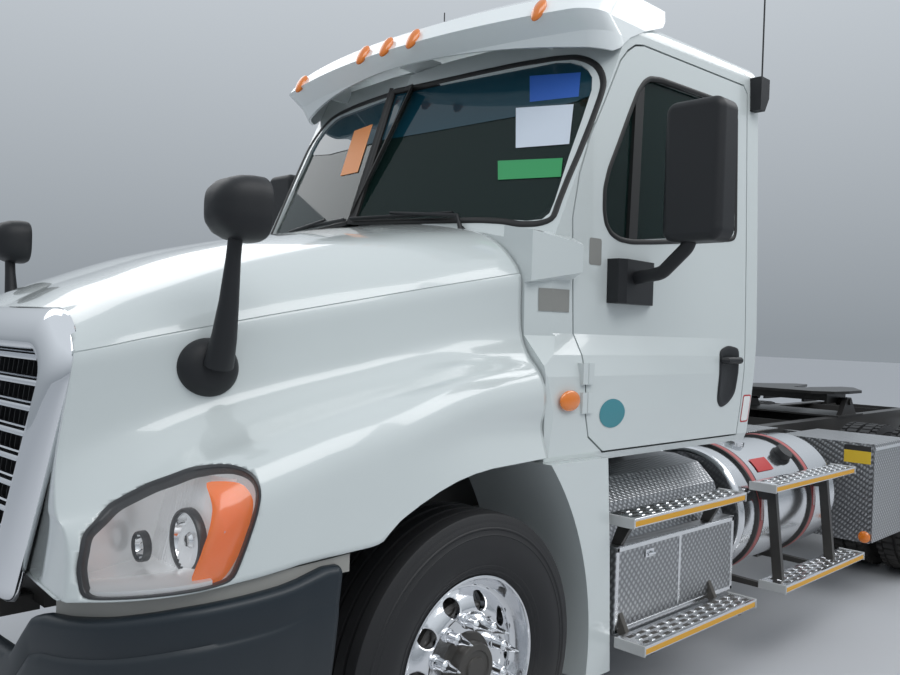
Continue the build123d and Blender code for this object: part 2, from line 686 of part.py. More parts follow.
def hood_shell():
    """Moulded hood with its fenders, open below, at the back and behind the grille."""
    shell = hood_solid() - hood_solid(HOOD_WALL) - arch_cut() - lamp_prism(LAMP_GAP)
    shell -= lean(end_prism(grille_outline(-30), 900, 1500)) + lean(surround_block())
    return shell + other_side(shell)


def headlights():
    lamp = (hood_solid() - hood_solid(LAMP_DEPTH)) & lamp_prism(0)
    return both(lamp)


MIRROR_FOOT = (780.0, 805.0, 1470.0)


def hood_mirrors():
    """Small convex mirrors: an oval foot on the hood's flank, a tapered arm and a bowl with a flat back."""
    x, y, z = MIRROR_FOOT
    foot = Pos(x, y, z) * Rot(0, 0, -6) * Rot(90, 0,
                                              0) * extrude(RectangleRounded(142, 140, 52), 34, both=True)
    foot -= hood_solid(-SEAT_GAP)
    arm = loft([
        Pos(x - 4, y + 44, z + 10) * Rot(0, 8, 0) * Rot(-35, 0, 0) * Ellipse(50, 30),
        Pos(x, y + 100, z + 190) * Rot(-12, 0, 0) * Ellipse(33, 21),
        Pos(x + 2, y + 128, z + 370) * Ellipse(24, 19),
    ])
    head = Pos(x + 2, y + 132, z + 448) * Rot(0, -8, 0) * scale(Sphere(1), (84, 100, 92))
    head &= block((x - 62, x + 120), (y, y + 300), (z + 340, z + 560))
    return both(foot + arm + head)


# Cab

# Side of the cab from the floor up: Z, then Y level with the door's front edge and at the cab's back
CAB_SIDE = [(FLOOR_Z, 1080, 1085), (1146, 1096, 1100), (1300, 1103, 1118), (1440, 1096, 1130),
            (1520, 1076, 1133),
            (1600, 1034, 1135), (1700, 1032, 1133), (2020, 1028, 1124), (ROOF_CROWN - 162, 1018, 1098)]
# Rounded edge of the roof: distance in from the side's top, and down from the crown
ROOF_EDGE = ((2, 116), (29, 57), (89, 32))


def cab_section(inset, x0=CAB_BACK, x1=0.0, floor=FLOOR_Z):
    """Cab outline in Y and Z, moved inwards and carried between two X values: it widens towards the back."""

    def outline(x):
        share = (DOOR_FRONT - x) / (DOOR_FRONT - CAB_BACK)
        side = [(x, front + (back - front) * share - inset, z) for z, front, back in CAB_SIDE]
        side[0] = (x, side[0][1], floor)
        a, b, c = [(x, side[-1][1] - across, ROOF_CROWN - drop - inset * 0.8) for across, drop in ROOF_EDGE]
        left = [Polyline(side), Line(side[-1], a), ThreePointArc(a, b, c)]
        right = [edge.mirror(Plane.XZ) for edge in left]
        crown = ThreePointArc(c, (x, 0, ROOF_CROWN - inset), (x, -c[1], c[2]))
        foot = Line(side[0], (x, -side[0][1], floor))
        return make_face([*left, crown, *right, foot])

    return loft([outline(x0), outline(x1)], ruled=True)


# Windshield: three corners of the left pane's plane
GLASS_LOW = (-323.0, 0.0, 2050.0)
GLASS_LOW_OUT = (-556.0, 986.0, 2073.0)
GLASS_TOP = (-633.0, 0.0, 2717.0)


def glass_plane(depth):
    """Plane of the left windshield pane, moved inwards by depth. Its Z points outwards."""
    low, out, top = Vector(*GLASS_LOW), Vector(*GLASS_LOW_OUT), Vector(*GLASS_TOP)
    along = (out - low).normalized()
    normal = along.cross(top - low).normalized()
    return Plane(origin=low - normal * depth, x_dir=along, z_dir=normal)


def ahead_of_glass(depth):
    """Everything ahead of the windshield planes on both sides."""
    left = extrude(glass_plane(depth) * Rectangle(5000, 5000), 3000)
    left = left & block((-2000, 2000), (0, 2500), (0, 5000))
    return left + other_side(left)


# Roof line in X and Z, from the back to above the windshield
ROOF_LINE = [(x, ROOF_CROWN + rise) for x,
             rise in ((-1500, 6), (-1150, -12), (-900, -66), (-740, -122), (-640, -185))]
# Shoulder of the cowl from its outer edge to the middle, Y and Z
COWL_TOP = [(1110, 1880), (1060, 1890), (940, 1945), (650, 2003), (0, 2040)]
# Front corner of the cowl: Z, X where it leaves the side, and Y there and at the front
COWL_CORNER = [(FLOOR_Z - 10, -470, 1112, 1088), (1470, -470, 1112, 1086), (1590, -560, 1046, 976),
               (1960, -560, 1046, 966)]
COWL_BOX_BACK = -608.0


def cowl_box():
    """Raised corner of the cowl below the windshield, flared in plan, rounded above and undercut below."""
    plan = plan_prism([(CAB_FRONT, 860), (CAB_FRONT, 1003), (COWL_BOX_BACK, 1087), (COWL_BOX_BACK, 860)],
                      1760, 2020)
    ends = end_prism([(860, 1770), (1000, 1790), (1120, 1850), (1120, 1905), (1078, 1945), (1000, 1982),
                      (860, 2005)],
                     COWL_BOX_BACK, CAB_FRONT)
    return plan & ends


def cab_volume(inset=0.0):
    """Cab as one solid: roof line, windshield planes and cowl, moved inwards by inset."""
    back, floor = CAB_BACK + inset, FLOOR_Z + (FLOOR_THICK if inset else 0)
    front = CAB_FRONT - (70 if inset else 0)
    high = ROOF_CROWN + 20
    line = [(x - inset * 0.5, z - inset) for x, z in ROOF_LINE]
    last = line[-1][1]
    top = [(back, floor), (back, ROOF_CROWN - 122 - inset), (back + 45, ROOF_CROWN - 27 - inset),
           (back + 110, high)]
    upper = side_prism([*top, (line[0][0], high), *line, (-300, last), (-300, floor)], -1250, 1250)
    section = cab_section(inset, floor=floor)
    body = section & upper
    body -= ahead_of_glass(inset)
    cowl = [(back, floor), (back, 1700), (-800, 2035 - inset), (front, 2035 - inset), (front, floor)]
    under = side_prism(cowl, -1250, 1250)
    shoulder = [(1110, 1000), *COWL_TOP]
    shoulder += [(-y, z) for y, z in reversed(shoulder[:-1])]
    nose = section & under & end_prism([(y, z - inset) for y, z in shoulder], -900, 0)
    volume = (body & block((CAB_BACK, front), (-1300, 1300), (FLOOR_Z, ROOF_CROWN + 140))) + nose
    if inset:
        return volume
    faces = []
    for z, x, y_side, y_front in COWL_CORNER:
        corner = [(CAB_FRONT + 1, y_front, z), (CAB_FRONT + 1, 1300, z), (x, 1300, z), (x, y_side, z)]
        faces.append(make_face(Polyline(corner, close=True)))
    return volume - both_sides(loft(faces, ruled=True)) + both_sides(cowl_box())


# Straight front edge of the door where its hinges are, and the lowest and highest point of each hinge
HINGE_EDGE = (1290.0, 1500.0)
DOOR_HINGES = ((1300.0, 1380.0), (1410.0, 1490.0))
HINGE_DEPTH = 50.0
# Door outline, X and Z: down the hinge edge, along the sill, up at the back, forward and down the pillar
DOOR_OUTLINE = [(DOOR_FRONT, HINGE_EDGE[1]), (DOOR_FRONT, HINGE_EDGE[0]), (DOOR_FRONT - 25, 1210),
                (DOOR_FRONT - 125, DOOR_BOTTOM), (DOOR_REAR, DOOR_BOTTOM), (DOOR_REAR, DOOR_TOP - 30),
                (DOOR_REAR + 30, DOOR_TOP), (-1037, DOOR_TOP), (-980, DOOR_TOP - 13), (-933, DOOR_TOP - 45),
                (-886, DOOR_TOP - 96), (-788, DOOR_TOP - 286), (-713, DOOR_TOP - 425), (-652, 2221),
                (-618, 2045)]
# Window outline, X and Z, along its lower edge to the back, up, and forward along its upper edge
WINDOW_TOP = DOOR_TOP - 122
WINDOW_OUTLINE = [(-822, 2045), (-854, 2014), (-904, 1998), (-978, 1995), (-1720, 2078), (-1748, 2110),
                  (-1748, WINDOW_TOP - 45),
                  (-1705, WINDOW_TOP), (-1100, WINDOW_TOP), (-1050, WINDOW_TOP - 30),
                  (-1010, WINDOW_TOP - 75),
                  (-835, 2267), (-809, 2182), (-809, 2096)]


def grown(points, extra):
    """Closed outline moved outwards by extra at each corner."""
    out, count = [], len(points)
    following = points[1:] + points[:1]
    area = sum(a * d - c * b for (a, b), (c, d) in zip(points, following))
    turn = 1 if area > 0 else -1
    for i, (x, z) in enumerate(points):
        (ax, az), (bx, bz) = points[i - 1], points[(i + 1) % count]
        u = Vector(x - ax, z - az).normalized()
        v = Vector(bx - x, bz - z).normalized()
        n = (Vector(u.Y, -u.X) + Vector(v.Y, -v.X)) * turn
        n = n.normalized()
        share = max(n.dot(Vector(u.Y, -u.X) * turn), 0.5)
        out.append((x + n.X * extra / share, z + n.Y * extra / share))
    return out


def door_parts(cab):
    """Left door as thick as the wall, its window glass, and the opening that it leaves."""
    slab = side_prism(DOOR_OUTLINE, 800, 1200)
    inner = cab_section(DOOR_THICK)
    door = (cab & slab) - inner
    door -= side_prism(WINDOW_OUTLINE, 800, 1200)
    x = DOOR_FRONT + DOOR_GAP / 2
    for z in DOOR_HINGES:
        door += bar_z(DOOR_GAP / 2 - SEAT_GAP, *z, x, DOOR_PIN_Y)
        door += block((DOOR_FRONT - 30, x), (DOOR_PIN_Y - 8, DOOR_PIN_Y), z)
        door += block((DOOR_FRONT - 30, DOOR_FRONT), (DOOR_PIN_Y - HINGE_DEPTH, DOOR_PIN_Y), z)
    glass = (cab_section(20) - cab_section(20 + GLASS, CAB_BACK - 1,
                                           1)) & side_prism(WINDOW_OUTLINE, 800, 1200)
    return door, glass, side_prism(grown(DOOR_OUTLINE, DOOR_GAP), 800, 1200)


# Windshield pane seen along its plane: distance from the middle post and height along the glass
PANE = [(24, 8), (689, -12), (900, -42), (965, -40), (992, -14), (1002, 40), (1022, 247), (1044, 420),
        (1058, 560),
        (1048, 625), (1020, 670), (980, 706), (925, 734), (858, 746), (24, 726)]
REAR_WINDOW = [(-420, 2080), (420, 2080), (460, 2120), (460, 2520), (420, 2560), (-420, 2560), (-460, 2520),
               (-460, 2120)]


def pane_solid(depth, thick, extra=0.0):
    outline = grown(PANE, extra) if extra else PANE
    face = glass_plane(depth) * make_face(Polyline([(x, y, 0) for x, y in outline], close=True))
    return extrude(face, thick)


CAB_OUTER = cab_volume()


def cab_parts():
    """Cab shell, roof panel, doors and glass, cut from one volume."""
    outer = CAB_OUTER
    room = cab_volume(CAB_WALL)
    door, glass, gap = door_parts(outer)
    shell = outer - room - gap - other_side(gap)
    edge = DOOR_FRONT + DOOR_GAP
    for z in DOOR_HINGES:
        shell += both_sides(block((edge, edge + 30), (DOOR_PIN_Y - HINGE_DEPTH, DOOR_PIN_Y), z))
    hole = pane_solid(CAB_WALL + 60, CAB_WALL + 200)
    shell = shell - hole - other_side(hole)
    window = end_prism(REAR_WINDOW, CAB_BACK - 20, CAB_BACK + CAB_WALL + 20)
    shell -= window
    above = block((CAB_BACK - 10, 0), (-1200, 1200), (ROOF_SPLIT, 3200))
    roof = shell & above
    shell -= above
    pane = pane_solid(14 + GLASS, GLASS)
    back = end_prism(REAR_WINDOW, CAB_BACK + 14, CAB_BACK + 14 + GLASS)
    return shell, roof, together(pane, other_side(pane), back), door, glass


# Visor from its lowest row up: height above or below the crown, X in the middle and Y at the side
VISOR_ROWS = [(-230, -640, 1036), (-154, -590, 1042), (-94, -503, 1045), (-12, -566, 1035), (58, -706, 1000),
              (100, -880, 945)]
VISOR_WALL = 12.0
VISOR_DROP = 84.0
# Lower edge of the visor's side over the roof gutter: X, and Z below the crown
VISOR_HEM = [(-800, -240), (-867, -205), (-935, -146), (-1030, -98), (-1190, -36), (-1600, -36)]


def visor_section(z, front, side, inset):
    """Outline of the visor in plan at one height: bowed front, rounded corners and straight sides."""
    back = -1500
    corner = (front - 125 - inset, side - 110 - inset)
    left = [(back, side - inset), (corner[0] - 160, side - inset), (corner[0] - 45, side - 30 - inset),
            corner]
    a, b, c, d = [Vector(x, y, z) for x, y in left]
    half = [Line(a, b), ThreePointArc(b, c, d)]
    nose = ThreePointArc(d, Vector(front - inset, 0, z), Vector(d.X, -d.Y, z))
    return make_face([*half, nose, *[edge.mirror(Plane.XZ) for edge in half], Line(a, Vector(back, -a.Y, z))])


def sun_visor():
    """Moulded visor that wraps round the front of the roof, open below and behind, on three brackets."""
    outer = loft([visor_section(ROOF_CROWN + z, x, y, 0) for z, x, y in VISOR_ROWS], ruled=True)
    drops = [1, *[0] * (len(VISOR_ROWS) - 2), VISOR_WALL]
    inner = loft([visor_section(ROOF_CROWN + z - drop, x, y, VISOR_WALL) for (z, x, y),
                  drop in zip(VISOR_ROWS, drops)],
                 ruled=True)
    middle, low = ROOF_CROWN - 148, ROOF_CROWN - 400
    hem = ThreePointArc((0, -1110, middle - VISOR_DROP), (0, 0, middle), (0, 1110, middle - VISOR_DROP))
    edges = [hem, Polyline([hem @ 1, (0, 1110, low), (0, -1110, low), hem @ 0])]
    below = Pos(-1700, 0, 0) * extrude(make_face(edges), 1500, dir=(1, 0, 0))
    side = side_prism([*[(x, ROOF_CROWN + z) for x, z in VISOR_HEM], (-1600, low), (-800, low)], 900, 1200)
    rear = side_prism([(-1180, low), (-1180, ROOF_CROWN - 40), (-1300, ROOF_CROWN + 120),
                       (-1600, ROOF_CROWN + 120), (-1600, low)],
                      -1200, 1200)
    shape = outer - inner - rear - below - both_sides(side)
    brackets = [block((-860, -480), (y - 6, y + 6),
                      (ROOF_CROWN - 150, ROOF_CROWN - 62)) for y in (-711, 0, 711)]
    for bracket in brackets:
        shape += bracket & inner
    return shape - CAB_OUTER, outer


def marker_lamps(visor):
    """Bullet lamps on the visor and one oval lamp on each side of the cowl."""
    found = []
    for y in (-821, -177, 0, 177, 821):
        x = -512 - 105 * (y / 835) ** 2
        found.append(Pos(x, y, ROOF_CROWN - 72) * Rot(0, -30, 0) * Cone(20, 10, 110) - visor)
    for side in (-1, 1):
        lens = Pos(-525, side * 1108, 1352) * Rot(90, 0, 0) * extrude(Ellipse(62, 40), 12, both=True)
        found.append(lens - CAB_OUTER)
    return together(*found)


def door_mirror():
    """Left door mirror: foot on the door skin, curved arm and tall rounded head."""
    foot = plan_prism([(-1110, 1000), (-1110, 1076), (-1080, 1100), (-860, 1118), (-826, 1100),
                       (-826, 1000)], 1728, 1905)
    foot = fillet(foot.edges().filter_by(lambda edge: abs(edge.center().X + 826) < 1 and edge.center().Y > 1050), 6)
    foot -= cab_section(-SEAT_GAP, -1200, -700)
    arm = tube_along([(-930, 1085, 1830), (-930, 1230, 1850), (-925, 1345, 1950), (-915, 1372, 2080)], 27, 70)
    head = Pos(-912, 1383, 2230) * Box(112, 246, 534)
    head = fillet(head.edges().filter_by(Axis.X), 46)
    head = fillet(head.edges().group_by(Axis.X)[-1], 30)
    return foot + arm + head


STEER_Y = 500.0
STEER_TILT = 45.0
STEER_AT = (-1020.0, STEER_Y, 1840.0)
STEER_RADIUS = 228.0
STEER_HUB = 40.0


def interior():
    """Dashboard with its hood, and the steering column down to the floor."""
    top = [(-560, 1500), (-560, 1950), (-700, 1960), (-900, 1900), (-960, 1820), (-900, 1600), (-780, 1500)]
    dash = side_prism(top, -960, 960)
    reach = (STEER_HUB / 2 + SEAT_GAP) * math.sqrt(0.5)
    x, y, z = STEER_AT
    column = bar_between((x + 200, y, z - 200), (x + reach, y, z - reach), 34)
    leg = block((-860, -700), (STEER_Y - 60, STEER_Y + 60), (FLOOR_Z + FLOOR_THICK, 1520))
    return dash + column + leg


def steering_wheel():
    """Rim, three spokes and hub square to the column."""
    shape = Torus(STEER_RADIUS, 16) + Cylinder(52, STEER_HUB)
    for angle in (90, 210, 330):
        shape += Rot(0, 0, angle) * Pos(STEER_RADIUS / 2, 0, 0) * Box(STEER_RADIUS, 36, 12)
    return Pos(*STEER_AT) * Rot(0, -STEER_TILT, 0) * shape


def seats():
    """Two high-backed seats on pedestals."""
    found = []
    for y in (-STEER_Y, STEER_Y):
        base = block((-1640, -1280), (y - 190, y + 190), (FLOOR_Z + FLOOR_THICK, 1470))
        cushion = block((-1720, -1210), (y - 250, y + 250), (1470, 1600))
        back = side_prism([(-1700, 1600), (-1580, 1600), (-1690, 2300), (-1790, 2300)], y - 245, y + 245)
        found.append(base + cushion + back)
    return together(*found)


FENDER_Y = (1085.0, 1140.0)
LINER_WALL = 10.0


def fender_extensions():
    """Panels behind the front wheels, below the cowl, with the liner that wraps the wheel."""
    top, low = 1128, 285
    arc = ThreePointArc((-392, 0, top), (-572, 0, 840), (-640, 0, low))
    edges = [arc, Line((-640, 0, low), (-800, 0, low)), Line((-800, 0, low), (-772, 0, 760)),
             Line((-772, 0, 760), (-740, 0, top)),
             Line((-740, 0, top), (-392, 0, top))]
    skin = Pos(0, FENDER_Y[0], 0) * extrude(make_face(edges), FENDER_Y[1] - FENDER_Y[0], dir=(0, 1, 0))
    skin -= Pos(0, FENDER_Y[0] - LINER_WALL, 0) * extrude(offset(make_face(edges), -14),
                                                          FENDER_Y[1] - FENDER_Y[0], dir=(0, 1, 0))
    inner = ThreePointArc((-402, 0, top), (-582, 0, 836), (-650, 0, low))
    band = make_face([arc, Line(arc @ 1, inner @ 1), inner, Line(inner @ 0, arc @ 0)])
    liner = Pos(0, 640, 0) * extrude(band, FENDER_Y[0] - 640, dir=(0, 1, 0))
    bracket = block((-800, -640), (FRAME_HALF, 660), (770, 820)) - block((-655, 0), (640, 700), (700, 900))
    return both(skin + liner + bracket - CAB_OUTER)


def side_boxes():
    """Battery box on the left and exhaust cleaning box on the right, each with a curved upper cover."""
    x0, x1 = BATTERY_X
    (y0, y1), (z0, z1) = BATTERY_Y, BATTERY_Z
    outline = [(y0, z0), (y1, z0), (y1, z1), (y1 - 60, z1), (y1 - 110, 900), (y1 - 200, 985),
               (y1 - 330, 1010), (y0, 1010)]
    shell = end_prism(outline, x0, x1)
    shell += block((x0 + 60, x0 + 120), (FRAME_HALF, y0), (RAIL_BOTTOM, RAIL_TOP - 30))
    shell += block((x1 - 120, x1 - 60), (FRAME_HALF, y0), (RAIL_BOTTOM, RAIL_TOP - 30))
    return both(shell)


def fuel_tanks():
    tank = bar_x(TANK_RADIUS, *TANK_X, TANK_Y, TANK_Z)
    tank = fillet(tank.edges().filter_by(GeomType.CIRCLE), 28)
    cap = Pos(-2350, TANK_Y + 60, TANK_Z + TANK_RADIUS - 14) * Rot(-10, 0, 0) * Cylinder(56, 60)
    return both(tank + cap)


def tank_straps():
    """Bands round the tanks on brackets that bolt to the rails, and hangers for the steps."""
    found = []
    for x in STRAP_X:
        half = STRAP_WIDTH / 2
        ring = bar_x(TANK_RADIUS + STRAP_THICK, x - half, x + half, TANK_Y, TANK_Z)
        shelf = end_prism([(FRAME_HALF, RAIL_TOP - 20), (FRAME_HALF + 60, RAIL_TOP - 20),
                           (TANK_Y - 240, 560), (TANK_Y + 40, 395),
                           (TANK_Y + 40, 345), (FRAME_HALF, 345)], x - half, x + half)
        shelf = shelf - block((x - 50, x + 50), (FRAME_HALF - 10, FRAME_HALF + 1), (0, RAIL_BOTTOM))
        one = (ring + shelf) - bar_x(TANK_RADIUS, x - 60, x + 60, TANK_Y, TANK_Z)
        y_up, y_low = STEP_UP_Y - STEP_DEPTH, STEP_LOW_Y - STEP_DEPTH
        hanger = end_prism([(TANK_Y + 200, STEP_TOP_Z - 75), (y_up + 60, STEP_TOP_Z - STEP_THICK),
                            (y_up + 100, STEP_TOP_Z - STEP_THICK),
                            (y_low + 90, STEP_LOW_Z - STEP_THICK), (y_low + 90, STEP_LOW_Z - 60),
                            (TANK_Y, STEP_LOW_Z - 60),
                            (TANK_Y, STEP_LOW_Z - 25), (y_low + 40, STEP_LOW_Z - STEP_THICK),
                            (y_up + 60, STEP_TOP_Z - 90),
                            (TANK_Y + 200, STEP_TOP_Z - 110)], x - 14, x + 14)
        hanger = hanger - bar_x(TANK_RADIUS + 1, x - 60, x + 60, TANK_Y, TANK_Z)
        found.append(one + hanger - together(*step_treads(TANK_STEP_X)))
    return both(together(*found))


def step_treads(x):
    """Upper and lower tread on the left between two X values."""
    places = ((STEP_UP_Y, STEP_TOP_Z), (STEP_LOW_Y, STEP_LOW_Z))
    return [block(x, (y - STEP_DEPTH, y), (z - STEP_THICK, z)) for y, z in places]


def steps():
    """Two long treads on each side below the door, and two beside the tank."""
    return both(together(*step_treads(CAB_STEP_X), *step_treads(TANK_STEP_X)))


def step_brackets():
    """Arms that carry the cab steps from the boxes."""
    found = []
    y1 = BATTERY_Y[1]
    for x in (CAB_STEP_X[0] + 90, CAB_STEP_X[1] - 110):
        low = end_prism([(y1, STEP_LOW_Z + 60), (y1, STEP_LOW_Z - 20), (y1 + 40, STEP_LOW_Z - 60),
                         (STEP_LOW_Y - 30, STEP_LOW_Z - 60),
                         (STEP_LOW_Y - 30, STEP_LOW_Z - STEP_THICK),
                         (STEP_LOW_Y - STEP_DEPTH, STEP_LOW_Z - STEP_THICK)], x - 12, x + 12)
        z0, z1 = BATTERY_Z[1], STEP_TOP_Z - STEP_THICK
        inner = STEP_UP_Y - STEP_DEPTH
        high = end_prism([(y1 - 50, z0), (y1 - 5, z0), (inner + 70, z1), (inner + 6, z1)], x - 12, x + 12)
        found += [low, high]
    return both(together(*found))


def toolbox():
    """Box of tread plate behind the tank, open on its outer side behind the door."""
    (x0, x1), (y0, y1), (z0, z1) = BOX_X, BOX_Y, BOX_Z
    shell = block(BOX_X, BOX_Y, BOX_Z) - block((x0 + 4, x1 - 4), (y0 + 4, y1 + 1), (z0 + 4, z1 - 4))
    shell += block((x0 + 80, x0 + 140), (FRAME_HALF, y0), (RAIL_BOTTOM, z1 - 20))
    shell += block((x1 - 140, x1 - 80), (FRAME_HALF, y0), (RAIL_BOTTOM, z1 - 20))
    return shell


BOX_DOOR_GAP = 6.0


def toolbox_door():
    """Flat door on the toolbox's outer side, hinged along its top edge."""
    (x0, x1), (_, y1), (z0, z1) = BOX_X, BOX_Y, BOX_Z
    g = BOX_DOOR_GAP
    y = y1 + SEAT_GAP
    return block((x0 + g, x1 - g), (y, y + 14), (z0 + g, z1 - g)) + bar_x(7, x0 + g, x1 - g, y + 7, z1 - g)


def deck_plate():
    """Tread plate walkway over the rails behind the cab."""
    plate = block((-3330, -2080), (-640, 640), (RAIL_TOP + 24, RAIL_TOP + 30))
    for x in (-2200, -3200):
        plate += block((x - 25, x + 25), (-FRAME_HALF, FRAME_HALF), (RAIL_TOP, RAIL_TOP + 24))
    return plate


def fifth_wheel_base():
    """Mounting plate and two pivot stands across the rails."""
    shape = block((FIFTH_X - 260, FIFTH_X + 260), (-FRAME_HALF - 10, FRAME_HALF + 10),
                  (RAIL_TOP, RAIL_TOP + 12))
    for side in (-1, 1):
        stand = side_prism([(FIFTH_X - 150, RAIL_TOP + 12), (FIFTH_X - 40, FIFTH_PIVOT_Z + 34),
                            (FIFTH_X + 40, FIFTH_PIVOT_Z + 34),
                            (FIFTH_X + 150, RAIL_TOP + 12)], side * 385, side * 425)
        shape += stand - bar_y(24 + PIN_FIT, -600, 600, FIFTH_X, FIFTH_PIVOT_Z)
    return shape


def fifth_wheel_plate():
    """Coupling plate with a tapered throat at the back, ribs below and two pivot pins."""
    x0, x1 = FIFTH_X - 560, FIFTH_X + 400
    h = FIFTH_HALF
    plate = plan_prism([(x1, -280), (x1, 280), (x1 - 120, h - 40), (x1 - 320, h), (FIFTH_X - 180, h),
                        (x0, 250), (x0, 150),
                        (FIFTH_X - 140, FIFTH_SLOT), (FIFTH_X - 60, FIFTH_SLOT), (FIFTH_X - 60, -FIFTH_SLOT),
                        (FIFTH_X - 140, -FIFTH_SLOT), (x0, -150), (x0, -250), (FIFTH_X - 180, -h),
                        (x1 - 320, -h),
                        (x1 - 120, -h + 40)], FIFTH_TOP - 22, FIFTH_TOP)
    plate -= bar_z(FIFTH_SLOT, 1000, 1400, FIFTH_X - 60, 0)
    for side in (-1, 1):
        for y0, y1 in ((330, 350), (150, 170)):
            plate += block((FIFTH_X - 120, FIFTH_X + 260), (side * y0, side * y1),
                           (FIFTH_PIVOT_Z - 10, FIFTH_TOP - 20))
        plate += bar_y(32, side * 330, side * 380, FIFTH_X,
                       FIFTH_PIVOT_Z) + bar_y(24, side * 330, side * 440, FIFTH_X, FIFTH_PIVOT_Z)
    plate += block((FIFTH_X + 240, FIFTH_X + 260), (-350, 350), (FIFTH_PIVOT_Z + 10, FIFTH_TOP - 20))
    return plate


MUDFLAP_X = FRAME_END + 30


def mud_flaps():
    """Rubber flaps behind the last wheels on bars from the frame's end."""
    flap = block((MUDFLAP_X, MUDFLAP_X + 8), (610, 1225), (300, 930))
    arm = bar_y(16, INSIDE + 10, 1225, MUDFLAP_X + 4, 940)
    return both(flap + arm)


TAIL = FRAME_END - 46


def tail_lamps():
    """Three round lamps on a box at each end of the rear crossmember."""
    box = block((FRAME_END - 34, FRAME_END), (170, 430), (850, 930))
    for y in (215, 300, 385):
        box += bar_x(34, TAIL, FRAME_END - 30, y, 890)
    return both(box)


def antennas():
    """Whips on wedge brackets at the back corners of the roof."""
    top, low = ROOF_CROWN - 105, ROOF_CROWN - 265
    wedge = side_prism([(-1880, top), (-1966, top), (-1966, top - 90), (-1925, low), (-1880, low)], 1000,
                       1150)
    wedge -= cab_section(0, CAB_BACK, -1800)
    whip = bar_z(4, top, top + 860, -1940, 1122)
    return both(wedge + whip)


os.makedirs("parts", exist_ok=True)

X_MID = (FRONT_OVERHANG + TAIL) / 2


def write(name, shape):
    """One STEP for one node, moved so that the middle of the footprint is the origin."""
    solids = shape.solids()
    node = solids[0] if len(solids) == 1 else Compound(children=list(solids))
    export_step(Pos(-X_MID, 0, 0) * node, f"parts/{name}.step")


ROOT_NODES = {
    "frame": frame, "front_bumper": bumper, "front_beam": front_beam, "front_springs": front_springs,
    "drive_axles": drive_axles, "powertrain": powertrain, "propeller_shafts": propeller_shafts,
    "radiator": radiator, "air_tanks": air_tanks,
    "dashboard": interior, "seats": seats,
    "fender_extensions": fender_extensions, "side_boxes": side_boxes, "fuel_tanks": fuel_tanks,
    "tank_straps": tank_straps, "steps": steps, "step_brackets": step_brackets, "toolbox": toolbox,
    "deck_plate": deck_plate, "fifth_wheel_base": fifth_wheel_base, "mud_flaps": mud_flaps,
    "tail_lamps": tail_lamps, "antennas": antennas,
    "hood_shell": hood_shell, "grille": grille, "headlights": headlights, "hood_mirrors": hood_mirrors,
    "fifth_wheel_plate": fifth_wheel_plate, "steering_wheel": steering_wheel, "toolbox_door": toolbox_door,
    "tie_rod": tie_rod,
}
for name, make in ROOT_NODES.items():
    write(name, make())

visor, visor_volume = sun_visor()
write("sun_visor", visor)
write("marker_lamps", marker_lamps(visor_volume))

shell, roof, glass, door, door_glass = cab_parts()
write("cab_shell", shell)
write("roof_panel", roof)
write("cab_glass", glass)

front_tyre, front_rim = front_wheel()
drive_tyres, drive_rims = drive_wheels()
PAIRS = {
    "door": door, "door_glass": door_glass, "door_mirror": door_mirror(), "knuckle": knuckle(),
    "front_tyre": at_axle(front_tyre, 0), "front_rim": at_axle(front_rim, 0),
    "drive_tyres_1": at_axle(drive_tyres, DRIVE_X[0]), "drive_rims_1": at_axle(drive_rims, DRIVE_X[0]),
    "drive_tyres_2": at_axle(drive_tyres, DRIVE_X[1]), "drive_rims_2": at_axle(drive_rims, DRIVE_X[1]),
}
for name, shape in PAIRS.items():
    write(f"{name}_left", shape)
    write(f"{name}_right", other_side(shape))
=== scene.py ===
import math

import bmesh
import bpy
import numpy as np
from mathutils import Matrix, Vector
from mathutils.bvhtree import BVHTree


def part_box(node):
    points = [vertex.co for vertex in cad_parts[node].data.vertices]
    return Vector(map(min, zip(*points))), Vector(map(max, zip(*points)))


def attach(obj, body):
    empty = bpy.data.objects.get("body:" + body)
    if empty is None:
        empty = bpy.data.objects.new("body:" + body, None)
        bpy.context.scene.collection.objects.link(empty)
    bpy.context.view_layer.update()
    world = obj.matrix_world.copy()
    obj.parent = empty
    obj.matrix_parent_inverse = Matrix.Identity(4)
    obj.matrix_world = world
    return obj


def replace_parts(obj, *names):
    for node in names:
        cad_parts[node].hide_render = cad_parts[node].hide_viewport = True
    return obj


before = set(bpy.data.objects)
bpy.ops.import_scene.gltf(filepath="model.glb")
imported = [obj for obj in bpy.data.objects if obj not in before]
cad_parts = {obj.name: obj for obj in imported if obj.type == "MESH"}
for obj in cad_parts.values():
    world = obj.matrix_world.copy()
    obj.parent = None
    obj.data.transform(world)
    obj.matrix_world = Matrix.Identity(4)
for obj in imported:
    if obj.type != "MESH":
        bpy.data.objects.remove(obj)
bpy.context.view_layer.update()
scene = bpy.context.scene
scene.view_settings.view_transform = "Standard"

# Viewpoint. The photo is taken by hand from ahead of the left front wheel, at eye height,
# with a slight lean to one side. Its place and lens were worked out from the truck's own lines.
EYE = (4.6654, 3.0453, 1.6047)
YAW, PITCH, ROLL = math.radians(45.4), math.radians(0.6), math.radians(1.9)
FOCAL = 34.18


def look(yaw, pitch, roll):
    """Camera turned to face back along X, then by yaw towards -Y, down by pitch, and leaned by roll."""
    ahead = np.array([-math.cos(yaw), -math.sin(yaw), 0.0])
    right = np.array([-math.sin(yaw), math.cos(yaw), 0.0])
    up = np.array([0.0, 0.0, 1.0])
    forward = ahead * math.cos(pitch) - up * math.sin(pitch)
    upward = up * math.cos(pitch) + ahead * math.sin(pitch)
    across = right * math.cos(roll) + upward * math.sin(roll)
    upward = upward * math.cos(roll) - right * math.sin(roll)
    return Matrix(np.stack([across, upward, -forward], axis=1).tolist())


